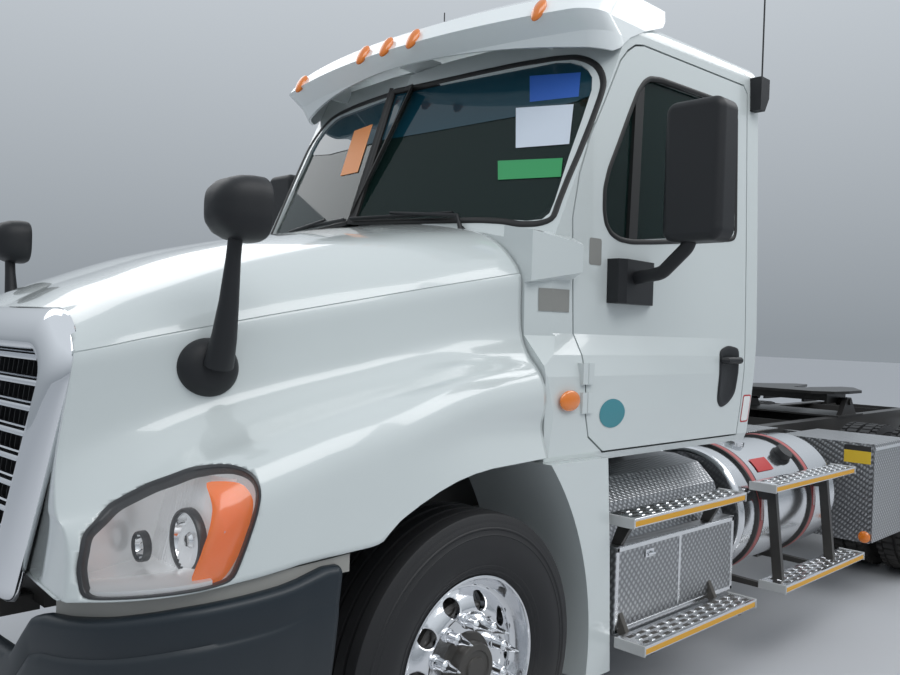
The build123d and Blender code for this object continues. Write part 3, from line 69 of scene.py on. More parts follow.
camera = bpy.data.objects.new("camera", bpy.data.cameras.new("camera"))
camera.data.lens = FOCAL
camera.data.sensor_width = 36.0
camera.data.clip_end = 200.0
camera.matrix_world = Matrix.Translation(EYE) @ look(YAW, PITCH, ROLL).to_4x4()
scene.collection.objects.link(camera)
scene.camera = camera

# Studio. A pale floor, a pale sky that is a little darker at the horizon, so that the bright
# metal has something to mirror, and three large soft lamps overhead and to the sides.
FLOOR_SIZE = 70.0
FLOOR_COLOR = (0.50, 0.51, 0.53, 1)
HORIZON = (0.27, 0.30, 0.33, 1)
ZENITH = (0.68, 0.73, 0.78, 1)
# place, watts, width and length of each lamp, and the point that it faces
LAMPS = (((3.0, 5.5, 7.5), 230, 7.0, 4.0, (1.5, 0.5, 1.2)),
         ((-5.0, 4.0, 8.0), 230, 8.0, 4.0, (-2.0, 0.0, 1.0)),
         ((2.0, -6.0, 6.5), 120, 8.0, 4.0, (0.0, 0.0, 1.2)))


def tree_of(owner):
    """Empty node tree of a material or the world."""
    owner.use_nodes = True
    owner.node_tree.nodes.clear()
    return owner.node_tree


def lit_sky():
    """World whose colour climbs from the horizon to the zenith with the height of the ray."""
    world = bpy.data.worlds.new("sky")
    scene.world = world
    tree = tree_of(world)
    place = tree.nodes.new("ShaderNodeTexCoord")
    split = tree.nodes.new("ShaderNodeSeparateXYZ")
    ramp = tree.nodes.new("ShaderNodeValToRGB")
    back = tree.nodes.new("ShaderNodeBackground")
    out = tree.nodes.new("ShaderNodeOutputWorld")
    ramp.color_ramp.elements[0].color = HORIZON
    ramp.color_ramp.elements[1].color = ZENITH
    ramp.color_ramp.elements[1].position = 0.55
    tree.links.new(place.outputs["Generated"], split.inputs[0])
    tree.links.new(split.outputs["Z"], ramp.inputs[0])
    tree.links.new(ramp.outputs[0], back.inputs["Color"])
    tree.links.new(back.outputs[0], out.inputs[0])


def soft_lamp(place, watts, width, length, aim):
    data = bpy.data.lights.new("soft_lamp", "AREA")
    data.shape = "RECTANGLE"
    data.size, data.size_y = width, length
    data.energy = watts
    lamp = bpy.data.objects.new("soft_lamp", data)
    lamp.location = place
    lamp.rotation_euler = (Vector(aim) - Vector(place)).to_track_quat("-Z", "Y").to_euler()
    scene.collection.objects.link(lamp)


lit_sky()
for row in LAMPS:
    soft_lamp(*row)


# Floor: one flat pale sheet, and the helpers that turn rows of points into surfaces.
SIDES = ("left", "right")


def grid(points, close_u=False, close_v=False):
    """Quads over points[u, v], joined round where a direction closes. Gives vertices and faces."""
    count_u, count_v = points.shape[:2]
    index = np.arange(count_u * count_v).reshape(count_u, count_v)
    if close_u:
        index = np.vstack([index, index[:1]])
    if close_v:
        index = np.hstack([index, index[:, :1]])
    quads = [index[:-1, :-1], index[1:, :-1], index[1:, 1:], index[:-1, 1:]]
    return points.reshape(-1, 3), np.stack(quads, -1).reshape(-1, 4)


def together(parts):
    """Several sets of vertices and faces as one."""
    base, verts, faces = 0, [], []
    for points, quads in parts:
        verts.append(points)
        faces.append(quads + base)
        base += len(points)
    return np.vstack(verts), np.vstack(faces)


def mesh_object(name, part, smooth=35.0, tidy=True):
    """Object from vertices and faces. Doubles are merged and, where tidy, faces turned outwards."""
    points, quads = part
    mesh = bpy.data.meshes.new(name)
    mesh.from_pydata(points.tolist(), [], quads.tolist())
    work = bmesh.new()
    work.from_mesh(mesh)
    bmesh.ops.remove_doubles(work, verts=work.verts, dist=2e-5)
    bmesh.ops.dissolve_degenerate(work, edges=work.edges, dist=1e-5)
    if tidy:
        bmesh.ops.recalc_face_normals(work, faces=work.faces)
    work.to_mesh(mesh)
    work.free()
    mesh.shade_smooth()
    mesh.set_sharp_from_angle(angle=math.radians(smooth))
    piece = bpy.data.objects.new(name, mesh)
    scene.collection.objects.link(piece)
    return piece


floor_edge = np.array([-FLOOR_SIZE, FLOOR_SIZE])
floor_x, floor_y = np.meshgrid(floor_edge, floor_edge, indexing="ij")
floor = mesh_object("floor", grid(np.stack([floor_x, floor_y, floor_x * 0 - 0.001], -1)))
floor_finish = bpy.data.materials.new("floor_finish")
floor_finish.use_nodes = True
floor_shader = floor_finish.node_tree.nodes["Principled BSDF"]
floor_shader.inputs["Base Color"].default_value = FLOOR_COLOR
floor_shader.inputs["Roughness"].default_value = 0.6
floor.data.materials.append(floor_finish)


# Chassis in black paint: rails, crossmembers, axles, springs, brackets and steering arms.
# Pressed steel and castings, painted semi-gloss, with road dust where the wheels throw it.
DUST_COLOR = (0.30, 0.27, 0.23, 1)


def group_of(name, inputs, outputs):
    """Empty node group with named inputs and outputs. Each is a name, a socket type and a value."""
    group = bpy.data.node_groups.new(name, "ShaderNodeTree")
    for label, kind, value in inputs:
        socket = group.interface.new_socket(label, in_out="INPUT", socket_type=kind)
        socket.default_value = value
    for label, kind in outputs:
        group.interface.new_socket(label, in_out="OUTPUT", socket_type=kind)
    return group, group.nodes.new("NodeGroupInput"), group.nodes.new("NodeGroupOutput")


def math_of(tree, kind, *values):
    """Maths node of a kind, fed by sockets or numbers. Gives its result."""
    node = tree.nodes.new("ShaderNodeMath")
    node.operation = kind
    for place, value in enumerate(values):
        if isinstance(value, float):
            node.inputs[place].default_value = value
        else:
            tree.links.new(value, node.inputs[place])
    return node.outputs[0]


def patchy_group():
    """Colour that drifts slightly in patches, and dust that gathers low down in soft clouds."""
    group, given, made = group_of(
        "patchy_colour",
        [("Color", "NodeSocketColor", (0.5, 0.5, 0.5, 1)), ("Scale", "NodeSocketFloat", 3.0),
         ("Drift", "NodeSocketFloat", 0.1), ("Dust", "NodeSocketFloat", 0.2),
         ("Dust Top", "NodeSocketFloat", 1.2), ("Rough", "NodeSocketFloat", 0.4)],
        [("Color", "NodeSocketColor"), ("Rough", "NodeSocketFloat")])
    nodes, links = group.nodes, group.links
    place = nodes.new("ShaderNodeTexCoord")
    clouds = nodes.new("ShaderNodeTexNoise")
    clouds.inputs["Detail"].default_value = 5.0
    links.new(place.outputs["Object"], clouds.inputs["Vector"])
    links.new(given.outputs["Scale"], clouds.inputs["Scale"])
    bright = nodes.new("ShaderNodeVectorMath")
    bright.operation = "SCALE"
    links.new(given.outputs["Color"], bright.inputs[0])
    shade = math_of(group, "MULTIPLY_ADD", clouds.outputs["Fac"], given.outputs["Drift"], 1.0)
    links.new(shade, bright.inputs["Scale"])
    split = nodes.new("ShaderNodeSeparateXYZ")
    links.new(place.outputs["Object"], split.inputs[0])
    low = nodes.new("ShaderNodeMapRange")
    links.new(split.outputs["Z"], low.inputs["Value"])
    low.inputs["From Min"].default_value = 0.1
    links.new(given.outputs["Dust Top"], low.inputs["From Max"])
    low.inputs["To Min"].default_value = 1.0
    low.inputs["To Max"].default_value = 0.0
    puff = math_of(group, "MULTIPLY", low.outputs[0], clouds.outputs["Fac"])
    share = math_of(group, "MULTIPLY", puff, given.outputs["Dust"])
    mix = nodes.new("ShaderNodeMix")
    mix.data_type = "RGBA"
    # a colour mix keeps its two colours at 6 and 7 and gives its result at 2
    links.new(share, mix.inputs["Factor"])
    links.new(bright.outputs[0], mix.inputs[6])
    mix.inputs[7].default_value = DUST_COLOR
    links.new(mix.outputs[2], made.inputs["Color"])
    links.new(math_of(group, "MULTIPLY_ADD", share, 0.5, given.outputs["Rough"]), made.inputs["Rough"])
    return group


def grain_group():
    """Fine bumps on a surface: noise of a given scale raised by a given height in metres."""
    group, given, made = group_of(
        "fine_grain",
        [("Scale", "NodeSocketFloat", 300.0), ("Height", "NodeSocketFloat", 0.0002)],
        [("Normal", "NodeSocketVector"), ("Mask", "NodeSocketFloat")])
    nodes, links = group.nodes, group.links
    place = nodes.new("ShaderNodeTexCoord")
    noise = nodes.new("ShaderNodeTexNoise")
    noise.inputs["Detail"].default_value = 3.0
    bump = nodes.new("ShaderNodeBump")
    links.new(place.outputs["Object"], noise.inputs["Vector"])
    links.new(given.outputs["Scale"], noise.inputs["Scale"])
    links.new(noise.outputs["Fac"], bump.inputs["Height"])
    links.new(given.outputs["Height"], bump.inputs["Distance"])
    links.new(bump.outputs["Normal"], made.inputs["Normal"])
    links.new(noise.outputs["Fac"], made.inputs["Mask"])
    return group


patchy = patchy_group()
grain = grain_group()


def blank_material(name):
    """New material with only its surface shader. Gives the material, its tree and the shader."""
    material = bpy.data.materials.new(name)
    tree = tree_of(material)
    shader = tree.nodes.new("ShaderNodeBsdfPrincipled")
    out = tree.nodes.new("ShaderNodeOutputMaterial")
    tree.links.new(shader.outputs[0], out.inputs[0])
    return material, tree, shader


def finish(name, color, rough, metal=0.0, drift=0.12, scale=3.0, dust=0.2, dust_top=1.2,
           grain_scale=400.0, grain_height=0.0, coat=0.0, glow=0.0):
    """Material with drifting colour, dust low down and a fine grain, from the two groups."""
    material, tree, shader = blank_material(name)
    look_of = tree.nodes.new("ShaderNodeGroup")
    look_of.node_tree = patchy
    values = {"Color": (*color, 1), "Scale": scale, "Drift": drift, "Dust": dust, "Dust Top": dust_top,
              "Rough": rough}
    for label, value in values.items():
        look_of.inputs[label].default_value = value
    tree.links.new(look_of.outputs["Color"], shader.inputs["Base Color"])
    tree.links.new(look_of.outputs["Rough"], shader.inputs["Roughness"])
    shader.inputs["Metallic"].default_value = metal
    shader.inputs["Coat Weight"].default_value = coat
    shader.inputs["Coat Roughness"].default_value = 0.04
    if grain_height:
        bumps = tree.nodes.new("ShaderNodeGroup")
        bumps.node_tree = grain
        bumps.inputs["Scale"].default_value = grain_scale
        bumps.inputs["Height"].default_value = grain_height
        tree.links.new(bumps.outputs["Normal"], shader.inputs["Normal"])
    if glow:
        shader.inputs["Emission Color"].default_value = (*color, 1)
        shader.inputs["Emission Strength"].default_value = glow
    return material


def dress(material, *nodes):
    """Gives CAD nodes their material."""
    for node in nodes:
        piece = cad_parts[node]
        piece.data.materials.clear()
        piece.data.materials.append(material)


chassis_black = finish("chassis_black", (0.018, 0.018, 0.019), 0.38, dust=0.55, grain_height=0.0004,
                       grain_scale=160.0)
dress(chassis_black, "frame", "front_beam", "front_springs", "drive_axles", "propeller_shafts",
      "knuckle_left", "knuckle_right", "tie_rod", "air_tanks", "step_brackets", "fifth_wheel_base")
engine_grey = finish("engine_grey", (0.10, 0.105, 0.11), 0.55, dust=0.5, grain_height=0.0006,
                     grain_scale=120.0)
dress(engine_grey, "powertrain")
radiator_core = finish("radiator_core", (0.07, 0.07, 0.075), 0.5, metal=0.6, grain_height=0.001,
                       grain_scale=90.0)
dress(radiator_core, "radiator")
coupling_black = finish("coupling_black", (0.03, 0.029, 0.028), 0.33, metal=0.7, dust=0.5,
                        grain_height=0.0006, grain_scale=90.0)
dress(coupling_black, "fifth_wheel_plate")


# Front tyres. Rubber on 22.5 inch wheels: a rib tread with four grooves, thin rings moulded
# round the shoulder and a bead that seats behind the wheel's flange.
low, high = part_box("front_tyre_left")
AXLE_X, AXLE_Z = (low.x + high.x) / 2, (low.z + high.z) / 2
FRONT_Y = 1.035
TYRE_RADIUS = 0.505
TREAD_HALF = 0.110
GROOVES = (0.076, 0.026, -0.026, -0.076)
GROOVE_HALF, GROOVE_DEPTH = 0.0065, 0.013
# radius and half width down one side of the tyre, from the tread's edge to the bead
TYRE_SIDE = ((0.4985, 0.118), (0.491, 0.1225), (0.483, 0.1245), (0.479, 0.1270), (0.474, 0.1275),
             (0.470, 0.1300), (0.458, 0.1335), (0.455, 0.1365), (0.451, 0.1365), (0.448, 0.1345),
             (0.436, 0.1375), (0.433, 0.1395), (0.430, 0.1378), (0.412, 0.1412), (0.396, 0.1430),
             (0.374, 0.1425), (0.352, 0.1375), (0.334, 0.1300), (0.331, 0.1312), (0.327, 0.1300),
             (0.318, 0.1225), (0.312, 0.1225), (0.306, 0.1170), (0.298, 0.1090), (0.289, 0.1020))


def revolve(profile, around, centre=(0, 0, 0)):
    """Profile of radius and Y carried round a line along Y through centre."""
    profile = np.asarray(profile, float)
    turn = np.linspace(0, 2 * math.pi, around, endpoint=False)
    radius, along = profile[:, 0][:, None], profile[:, 1][:, None]
    x = centre[0] + radius * np.cos(turn)
    y = centre[1] + along + 0 * turn
    z = centre[2] + radius * np.sin(turn)
    return grid(np.stack([x, y, z], -1), close_v=True)


def mirrored(part):
    """The same surface on the truck's other side."""
    points, quads = part
    return points * np.array([1, -1, 1]), quads[:, ::-1]


def paired(part):
    """A surface on both sides of the truck."""
    return together([part, mirrored(part)])


def on_its_side(part, side):
    """A surface made for the left, on the side that is named."""
    return part if side == "left" else mirrored(part)


def moved(part, by):
    """A surface carried along X, Y and Z."""
    points, quads = part
    return points + np.asarray(by, float), quads


def put(name, part, material, body, slot, smooth=35.0, replaces=(), tidy=True):
    """One finished piece, riding on its body and standing for the CAD nodes that it replaces."""
    piece = mesh_object(name, part, smooth, tidy)
    piece.data.materials.append(material)
    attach(piece, body)
    if replaces:
        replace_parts(piece, *replaces)
    return piece


def ribbed_tread():
    """Tread line across the tyre, flat between its straight grooves."""
    edge, top, foot = TYRE_RADIUS - 0.0035, TYRE_RADIUS - 0.0004, TYRE_RADIUS - GROOVE_DEPTH
    line = [(edge, TREAD_HALF)]
    for place in GROOVES:
        line += [(top, place + GROOVE_HALF), (foot, place + GROOVE_HALF - 0.002),
                 (foot, place - GROOVE_HALF + 0.002), (top, place - GROOVE_HALF)]
    return [*line, (edge, -TREAD_HALF)]


def front_tyre():
    """Left front tyre: from one bead over the tread to the other, and back to the first."""
    outline = [*reversed(TYRE_SIDE), *ribbed_tread(), *((r, -w) for r, w in TYRE_SIDE), TYRE_SIDE[-1]]
    return revolve(outline, 160, (AXLE_X, FRONT_Y, AXLE_Z))


# near black, slightly brown where dust lies, with a fine mould grain
tyre_rubber = finish("tyre_rubber", (0.009, 0.009, 0.010), 0.56, drift=0.35, scale=9.0, dust=0.25,
                     dust_top=0.5, grain_scale=220.0, grain_height=0.0006)
for side in SIDES:
    put(f"front_tyre_skin_{side}", on_its_side(front_tyre(), side), tyre_rubber, f"front_wheel_{side}",
        "tyre_rubber", 28.0, (f"front_tyre_{side}",))


# Front wheels. Forged and polished aluminium with ten hand holes, a dished disc, a black hub
# and ten long pointed chrome nut covers.
HOLES = 10
HOLE_CIRCLE = 0.2085
HOLE_RADIUS = 0.030
HOLE_BAND = (0.168, 0.247)
STUD_CIRCLE = 0.1429
# radius and distance out from the wheel's middle, from the flange down to the disc's root
FLANGE = ((0.288, 0.096), (0.297, 0.104), (0.2985, 0.111), (0.297, 0.116), (0.293, 0.118), (0.2885, 0.1165),
          (0.285, 0.110), (0.2815, 0.1), (0.277, 0.088), (0.268, 0.072), (0.261, 0.062), (0.2535, 0.058))
BARREL_BACK = ((0.2535, 0.040), (0.2535, -0.050), (0.270, -0.07), (0.275, -0.1), (0.286, -0.108),
               (0.286, -0.118), (0.298, -0.118), (0.298, -0.104))
# radius and distance out of the stud face and the hub's edge
STUD_FACE = ((0.168, 0.0905), (0.1655, 0.0875), (0.162, 0.0865), (0.118, 0.0865), (0.111, 0.0865))


def dish(radius):
    """Distance that the disc stands out, by radius: high round the studs, falling to the rim."""
    radii = np.array([0.168, 0.176, 0.188, 0.205, 0.222, 0.236, 0.247])
    heights = np.array([0.0905, 0.0955, 0.0945, 0.0875, 0.0765, 0.0645, 0.0585])
    return np.interp(radius, radii, heights)


def holed_band(out, y_wheel):
    """Ring of the disc with its hand holes: each share of the ring runs from a hole's edge to its border."""
    turn = np.linspace(0, 2 * math.pi, 40, endpoint=False)
    half_angle = math.pi / HOLES
    middle = sum(HOLE_BAND) / 2
    half_width = (HOLE_BAND[1] - HOLE_BAND[0]) / 2
    stretch = 1 / np.maximum(abs(np.cos(turn)), abs(np.sin(turn)))
    border_angle = np.cos(turn) * stretch * half_angle
    border_radius = middle + np.sin(turn) * stretch * half_width
    hole_angle = np.cos(turn) * HOLE_RADIUS / HOLE_CIRCLE
    hole_radius = HOLE_CIRCLE + np.sin(turn) * HOLE_RADIUS
    share = np.array([0.0, 0.10, 0.35, 0.65, 1.0])[:, None]
    angle = hole_angle * (1 - share) + border_angle * share
    radius = hole_radius * (1 - share) + border_radius * share
    height = dish(radius)
    height[0] -= 0.003
    wall = height[:1] - np.array([[0.024], [0.010]])
    angle = np.vstack([angle[:1], angle[:1], angle])
    radius = np.vstack([radius[:1], radius[:1], radius])
    height = np.vstack([wall, height])
    parts = []
    for n in range(HOLES):
        at = angle + 2 * math.pi * n / HOLES
        points = np.stack([radius * np.cos(at), y_wheel + out * height, radius * np.sin(at)], -1)
        parts.append(grid(points, close_v=True))
    return together(parts)


def spikes(y_face):
    """Ten nut covers: a short flange, a straight shank and a long hollow-ground point."""
    shape = ((0.0, -0.004), (0.0225, -0.004), (0.0235, 0.002), (0.0225, 0.006), (0.0185, 0.008),
             (0.0185, 0.042), (0.0195, 0.044), (0.0195, 0.048), (0.0175, 0.050), (0.0118, 0.072),
             (0.0062, 0.094), (0.0016, 0.110), (0.0, 0.112))
    parts = []
    for n in range(HOLES):
        at = 2 * math.pi * (n + 0.5) / HOLES
        parts.append(revolve(shape, 20, (STUD_CIRCLE * math.cos(at), y_face, STUD_CIRCLE * math.sin(at))))
    return together(parts)


def front_rim():
    """Flange, barrel and disc of the left front wheel, round its own middle."""
    middle = (0, FRONT_Y, 0)
    return together([revolve(FLANGE, 96, middle), revolve((FLANGE[-1], *BARREL_BACK), 72, middle),
                     revolve((FLANGE[-1], (0.250, 0.0575), (0.247, 0.0585)), 80, middle),
                     holed_band(1, FRONT_Y), revolve(STUD_FACE, 80, middle)])


def hub_and_drum():
    """Hub with its stepped cap, and the brake drum behind the disc."""
    cap = ((0.111, 0.02), (0.111, 0.0875), (0.107, 0.094), (0.094, 0.096), (0.086, 0.099), (0.084, 0.128),
           (0.080, 0.134), (0.062, 0.136), (0.058, 0.131), (0.040, 0.131), (0.037, 0.137), (0.0, 0.138))
    drum = ((0.191, -0.015), (0.205, -0.019), (0.205, 0.055), (0.196, 0.063), (0.10, 0.063))
    return together([revolve(shape, 64, (0, FRONT_Y, 0)) for shape in (cap, drum)])


polished = finish("polished_aluminium", (0.80, 0.81, 0.83), 0.10, metal=1.0, drift=0.06, scale=14.0,
                  dust=0.18, dust_top=0.9, grain_scale=60.0, grain_height=0.00025)
chrome = finish("bright_chrome", (0.84, 0.85, 0.87), 0.045, metal=1.0, drift=0.04, dust=0.08)
hub_black = finish("hub_black", (0.012, 0.012, 0.013), 0.35, dust=0.4, grain_scale=200.0, grain_height=0.0004)
# name, shape about the axle, material, slot and the CAD node that it stands for
front_rows = (("rim_skin", front_rim(), polished, "wheel_aluminium", "front_rim"),
              ("hub_skin", hub_and_drum(), hub_black, "frame_black", None),
              ("nut_covers", spikes(FRONT_Y + 0.0865), chrome, "wheel_aluminium", None))
for side in SIDES:
    for label, part, material, slot, node in front_rows:
        put(f"front_{label}_{side}", on_its_side(moved(part, (AXLE_X, 0, AXLE_Z)), side), material,
            f"front_wheel_{side}", slot, 32.0, (f"{node}_{side}",) if node else ())


# Drive tyres and wheels, twinned on two axles. Deeper block tread with open shoulders, on
# deep-dished polished wheels with the same nut covers.
DUAL_Y = 0.918
DUAL_HALF = 0.343 / 2
LUGS = 54
LUG_DEPTH = 0.021


def drive_tread(y_tyre):
    """Tyre whose tread is cut into blocks: the radius drops where slots cross the ribs."""
    side = np.array(TYRE_SIDE[1::2])
    across = np.array([0.119, 0.114, 0.086, 0.084, 0.078, 0.076, 0.012, 0.010])
    width = np.concatenate([side[::-1, 1], across, -across[::-1], -side[:, 1]])
    radius = np.concatenate([side[::-1, 0], np.full(2 * len(across), TYRE_RADIUS), side[:, 0]])
    steps = 6
    turn = np.linspace(0, 2 * math.pi, LUGS * steps, endpoint=False)
    phase = (np.arange(LUGS * steps) % steps)[None, :]
    wide = abs(width)[:, None]
    tread = (radius > TYRE_RADIUS - 0.001)[:, None]
    shoulder = tread & (wide > 0.085)
    inner = tread & (wide < 0.077)
    groove = tread & (wide > 0.0765) & (wide < 0.0845)
    slot_out = shoulder & ((phase == 0) | (phase == 1))
    slot_in = inner & (phase == 3) & (wide > 0.011)
    middle = tread & (wide < 0.0115)
    drop = np.where(groove | slot_out | middle, LUG_DEPTH, 0)
    drop = drop + np.where(slot_in & ~groove, LUG_DEPTH * 0.8, 0)
    r = radius[:, None] - np.minimum(drop, LUG_DEPTH) + 0 * turn
    x, z = r * np.cos(turn), r * np.sin(turn)
    y = y_tyre + width[:, None] + 0 * turn
    ring = np.stack([x, y, z], -1)
    return grid(ring, close_v=True, close_u=True)


def drive_rims():
    """Outer wheel dished deep inwards, inner wheel facing it, and the disc that they share."""
    y_out, y_in = DUAL_Y + DUAL_HALF, DUAL_Y - DUAL_HALF
    shell = (*FLANGE[:7], (0.281, 0.095), (0.277, 0.075), (0.262, 0.055), (0.2535, 0.04), (0.2535, -0.050))
    outer = revolve(shell, 96, (0, y_out, 0))
    shelf = revolve(((0.2535, -0.050), (0.247, -0.1085)), 80, (0, y_out, 0))
    inner = revolve([(r, -h) for r, h in shell], 72, (0, y_in, 0))
    face = revolve(((0.168, 0.0095), (0.160, 0.0215), (0.108, 0.0215)), 80, (0, DUAL_Y, 0))
    return together([outer, shelf, inner, holed_band(-1, DUAL_Y + 0.100), face])


def drive_hub():
    """Hub with its flanged end, and the drum behind the disc."""
    cap = ((0.112, -0.2), (0.112, 0.090), (0.105, 0.096), (0.105, 0.112), (0.098, 0.118), (0.080, 0.119),
           (0.076, 0.124), (0.0, 0.124))
    drum = ((0.190, -0.16), (0.205, -0.165), (0.205, -0.03), (0.10, -0.022))
    return together([revolve(shape, 64, (0, DUAL_Y, 0)) for shape in (cap, drum)])


twins = together([drive_tread(DUAL_Y - DUAL_HALF), drive_tread(DUAL_Y + DUAL_HALF)])
drive_rows = (("tyre_skins", twins, tyre_rubber, "tyre_rubber", "drive_tyres"),
              ("rim_skins", drive_rims(), polished, "wheel_aluminium", "drive_rims"),
              ("hub_skin", drive_hub(), hub_black, "frame_black", None),
              ("nut_covers", spikes(DUAL_Y + 0.0215), chrome, "wheel_aluminium", None))
for number in (1, 2):
    low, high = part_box(f"drive_tyres_{number}_left")
    place = ((low.x + high.x) / 2, 0, AXLE_Z)
    for side in SIDES:
        for label, part, material, slot, node in drive_rows:
            put(f"drive_{label}_{number}_{side}", on_its_side(moved(part, place), side), material,
                f"drive_wheels_{number}_{side}", slot, 30.0, (f"{node}_{number}_{side}",) if node else ())


# Hood. One glossy white moulding with its fenders, creased along a shut line from the grille's
# corner to the cab. It is open at the back and below, and turns forward on two hinges at the bumper.
BACK_OF_HOOD = -0.400
# For each section from nose to cab: X at the foot, X at the crown, Z of the crown, then Y and Z
# of the shoulder, seam, waist, crest, side and foot.
HOOD_ROWS = (
    (1.200, 1.105, 1.622, (0.430, 1.600), (0.700, 1.510), (0.694, 1.250), (0.770, 1.075), (0.880, 1.000),
     (0.905, 0.900)),
    (1.120, 1.045, 1.655, (0.450, 1.632), (0.725, 1.524), (0.726, 1.262), (0.850, 1.110), (0.985, 1.000),
     (1.005, 0.910)),
    (1.000, 0.960, 1.700, (0.470, 1.676), (0.755, 1.546), (0.764, 1.300), (0.925, 1.185), (1.082, 1.060),
     (1.102, 0.926)),
    (0.850, 0.830, 1.752, (0.490, 1.726), (0.785, 1.574), (0.802, 1.345), (1.000, 1.250), (1.136, 1.120),
     (1.152, 0.947)),
    (0.600, 0.600, 1.835, (0.530, 1.806), (0.832, 1.622), (0.854, 1.405), (1.052, 1.330), (1.168, 1.190),
     (1.182, 0.975)),
    (0.300, 0.300, 1.915, (0.580, 1.884), (0.886, 1.682), (0.905, 1.470), (1.076, 1.402), (1.176, 1.232),
     (1.205, 0.975)),
    (0.000, 0.000, 1.980, (0.620, 1.944), (0.926, 1.740), (0.938, 1.545), (1.072, 1.450), (1.132, 1.268),
     (1.212, 0.975)),
    (BACK_OF_HOOD, BACK_OF_HOOD, 2.045, (0.650, 2.003), (0.965, 1.815), (0.968, 1.612), (1.060, 1.470),
     (1.076, 1.262), (1.178, 0.975)))
# Bulge of each stretch of a section as a share of its chord, outwards positive.
HOOD_BULGE = (0.03, 0.12, -0.02, -0.10, 0.16, 0.01)
# steps along each stretch, the stretch after which the seam lies, and its column in the surface
PER_STRETCH = 24
SEAM_STRETCH = 2
SEAM_COLUMN = 35
# heights at which a station's X is that of its foot and of its crown
HOOD_LEAN = (0.900, 1.600)
HOOD_THICK = 0.008
# Line at which the nose's face ends beside the grille: Y at its foot, Z of its foot, what Y gains with
# height, and the greatest Z
FACE_Y, FACE_LOW, FACE_FLARE, FACE_TOP = 0.530, 0.85, 0.2, 1.560
# Wheel opening in the fender: X and Z along its edge, from the bumper's end back to the cab
ARCH_EDGE = ((-0.400, 1.152), (-0.061, 1.151), (0.034, 1.144), (0.123, 1.131), (0.209, 1.109), (0.290, 1.080),
             (0.367, 1.045), (0.410, 1.012), (0.430, 0.993), (0.459, 0.984), (0.523, 0.980), (0.700, 0.968),
             (0.938, 0.934), (1.200, 0.900))


def curve_through(at, places, values):
    """Smooth curve through values at places: cubic pieces whose slopes come from their neighbours."""
    places, values = np.asarray(places, float), np.asarray(values, float)
    slopes = np.gradient(values, places, axis=0)
    at = np.atleast_1d(at)
    i = np.clip(np.searchsorted(places, at) - 1, 0, len(places) - 2)
    width = places[i + 1] - places[i]
    t = ((at - places[i]) / width)
    shape = (-1,) + (1,) * (values.ndim - 1)
    t, width = t.reshape(shape), width.reshape(shape)
    return ((2 * t**3 - 3 * t**2 + 1) * values[i] + (t**3 - 2 * t**2 + t) * width * slopes[i]
            + (3 * t**2 - 2 * t**3) * values[i + 1] + (t**3 - t**2) * width * slopes[i + 1])


def run_of(line):
    """Distance of each point of a line from its first, along the line."""
    return np.concatenate([[0], np.cumsum(np.linalg.norm(np.diff(line, axis=0), axis=1))])


def section_lines():
    """Each row's outline in Y and Z: arcs, bulged as given, from the crown to the foot."""
    t = np.linspace(0, 1, PER_STRETCH, endpoint=False)[:, None]
    lines = []
    for _, _, crown, *rest in HOOD_ROWS:
        corners = np.array([(0.0, crown), *rest])
        line = []
        for a, b, bulge in zip(corners[:-1], corners[1:], HOOD_BULGE):
            across = np.array([-(b[1] - a[1]), b[0] - a[0]])
            line.append(a + (b - a) * t + across * bulge * 4 * t * (1 - t))
        lines.append(np.vstack([*line, corners[-1:]]))
    return np.array(lines)


def smoothed(line, rounds):
    """Line whose corners are rounded by averaging neighbours, its ends kept."""
    for _ in range(rounds):
        line = line.copy()
        line[:, 1:-1] = line[:, 1:-1] * 0.5 + (line[:, :-2] + line[:, 2:]) * 0.25
    return line


def hood_surface():
    """Left half of the hood as points[station, across], with X leaned at the nose."""
    foot_x = np.array([row[0] for row in HOOD_ROWS])[::-1]
    crown_x = np.array([row[1] for row in HOOD_ROWS])[::-1]
    lines = smoothed(section_lines()[::-1], 14)
    stations = np.concatenate([np.linspace(foot_x[0], 0.55, 48, endpoint=False),
                               np.linspace(0.55, foot_x[-1], 44)])
    sections = curve_through(stations, foot_x, lines)
    top_x = curve_through(stations, foot_x, crown_x)
    arch_x, arch_z = np.array(ARCH_EDGE).T
    rows = []
    seam_index = SEAM_STRETCH * PER_STRETCH
    for x, x_top, line in zip(stations, top_x, sections):
        low = np.interp(x, arch_x, arch_z)
        run = run_of(line)
        below = np.where((line[:, 1] < low) & (np.arange(len(line)) > seam_index))[0]
        end = run[-1]
        if len(below):
            k = below[0]
            share = (line[k - 1, 1] - low) / (line[k - 1, 1] - line[k, 1])
            end = run[k - 1] + share * (run[k] - run[k - 1])
        seam = run[seam_index]
        at = np.concatenate([np.linspace(0, seam - 0.004, 34), [seam - 0.0018, seam, seam + 0.0018],
                             np.linspace(seam + 0.004, end, 62)])
        y, z = np.interp(at, run, line[:, 0]), np.interp(at, run, line[:, 1])
        y[SEAM_COLUMN] -= 0.0045
        z[SEAM_COLUMN] -= 0.0040
        lean = x + (x_top - x) * (z - HOOD_LEAN[0]) / (HOOD_LEAN[1] - HOOD_LEAN[0])
        rows.append(np.stack([lean, y, z], -1))
    return np.array(rows)


hood_half = hood_surface()


def with_lip(half):
    """Adds the flange that turns in along the hood's lower edge."""
    edge = half[:, -1]
    lips = [edge + np.array([0, -dy, dz]) for dy, dz in ((0.003, -0.003), (0.010, -0.004), (0.030, -0.002))]
    return np.concatenate([half, np.stack(lips, 1)], 1)


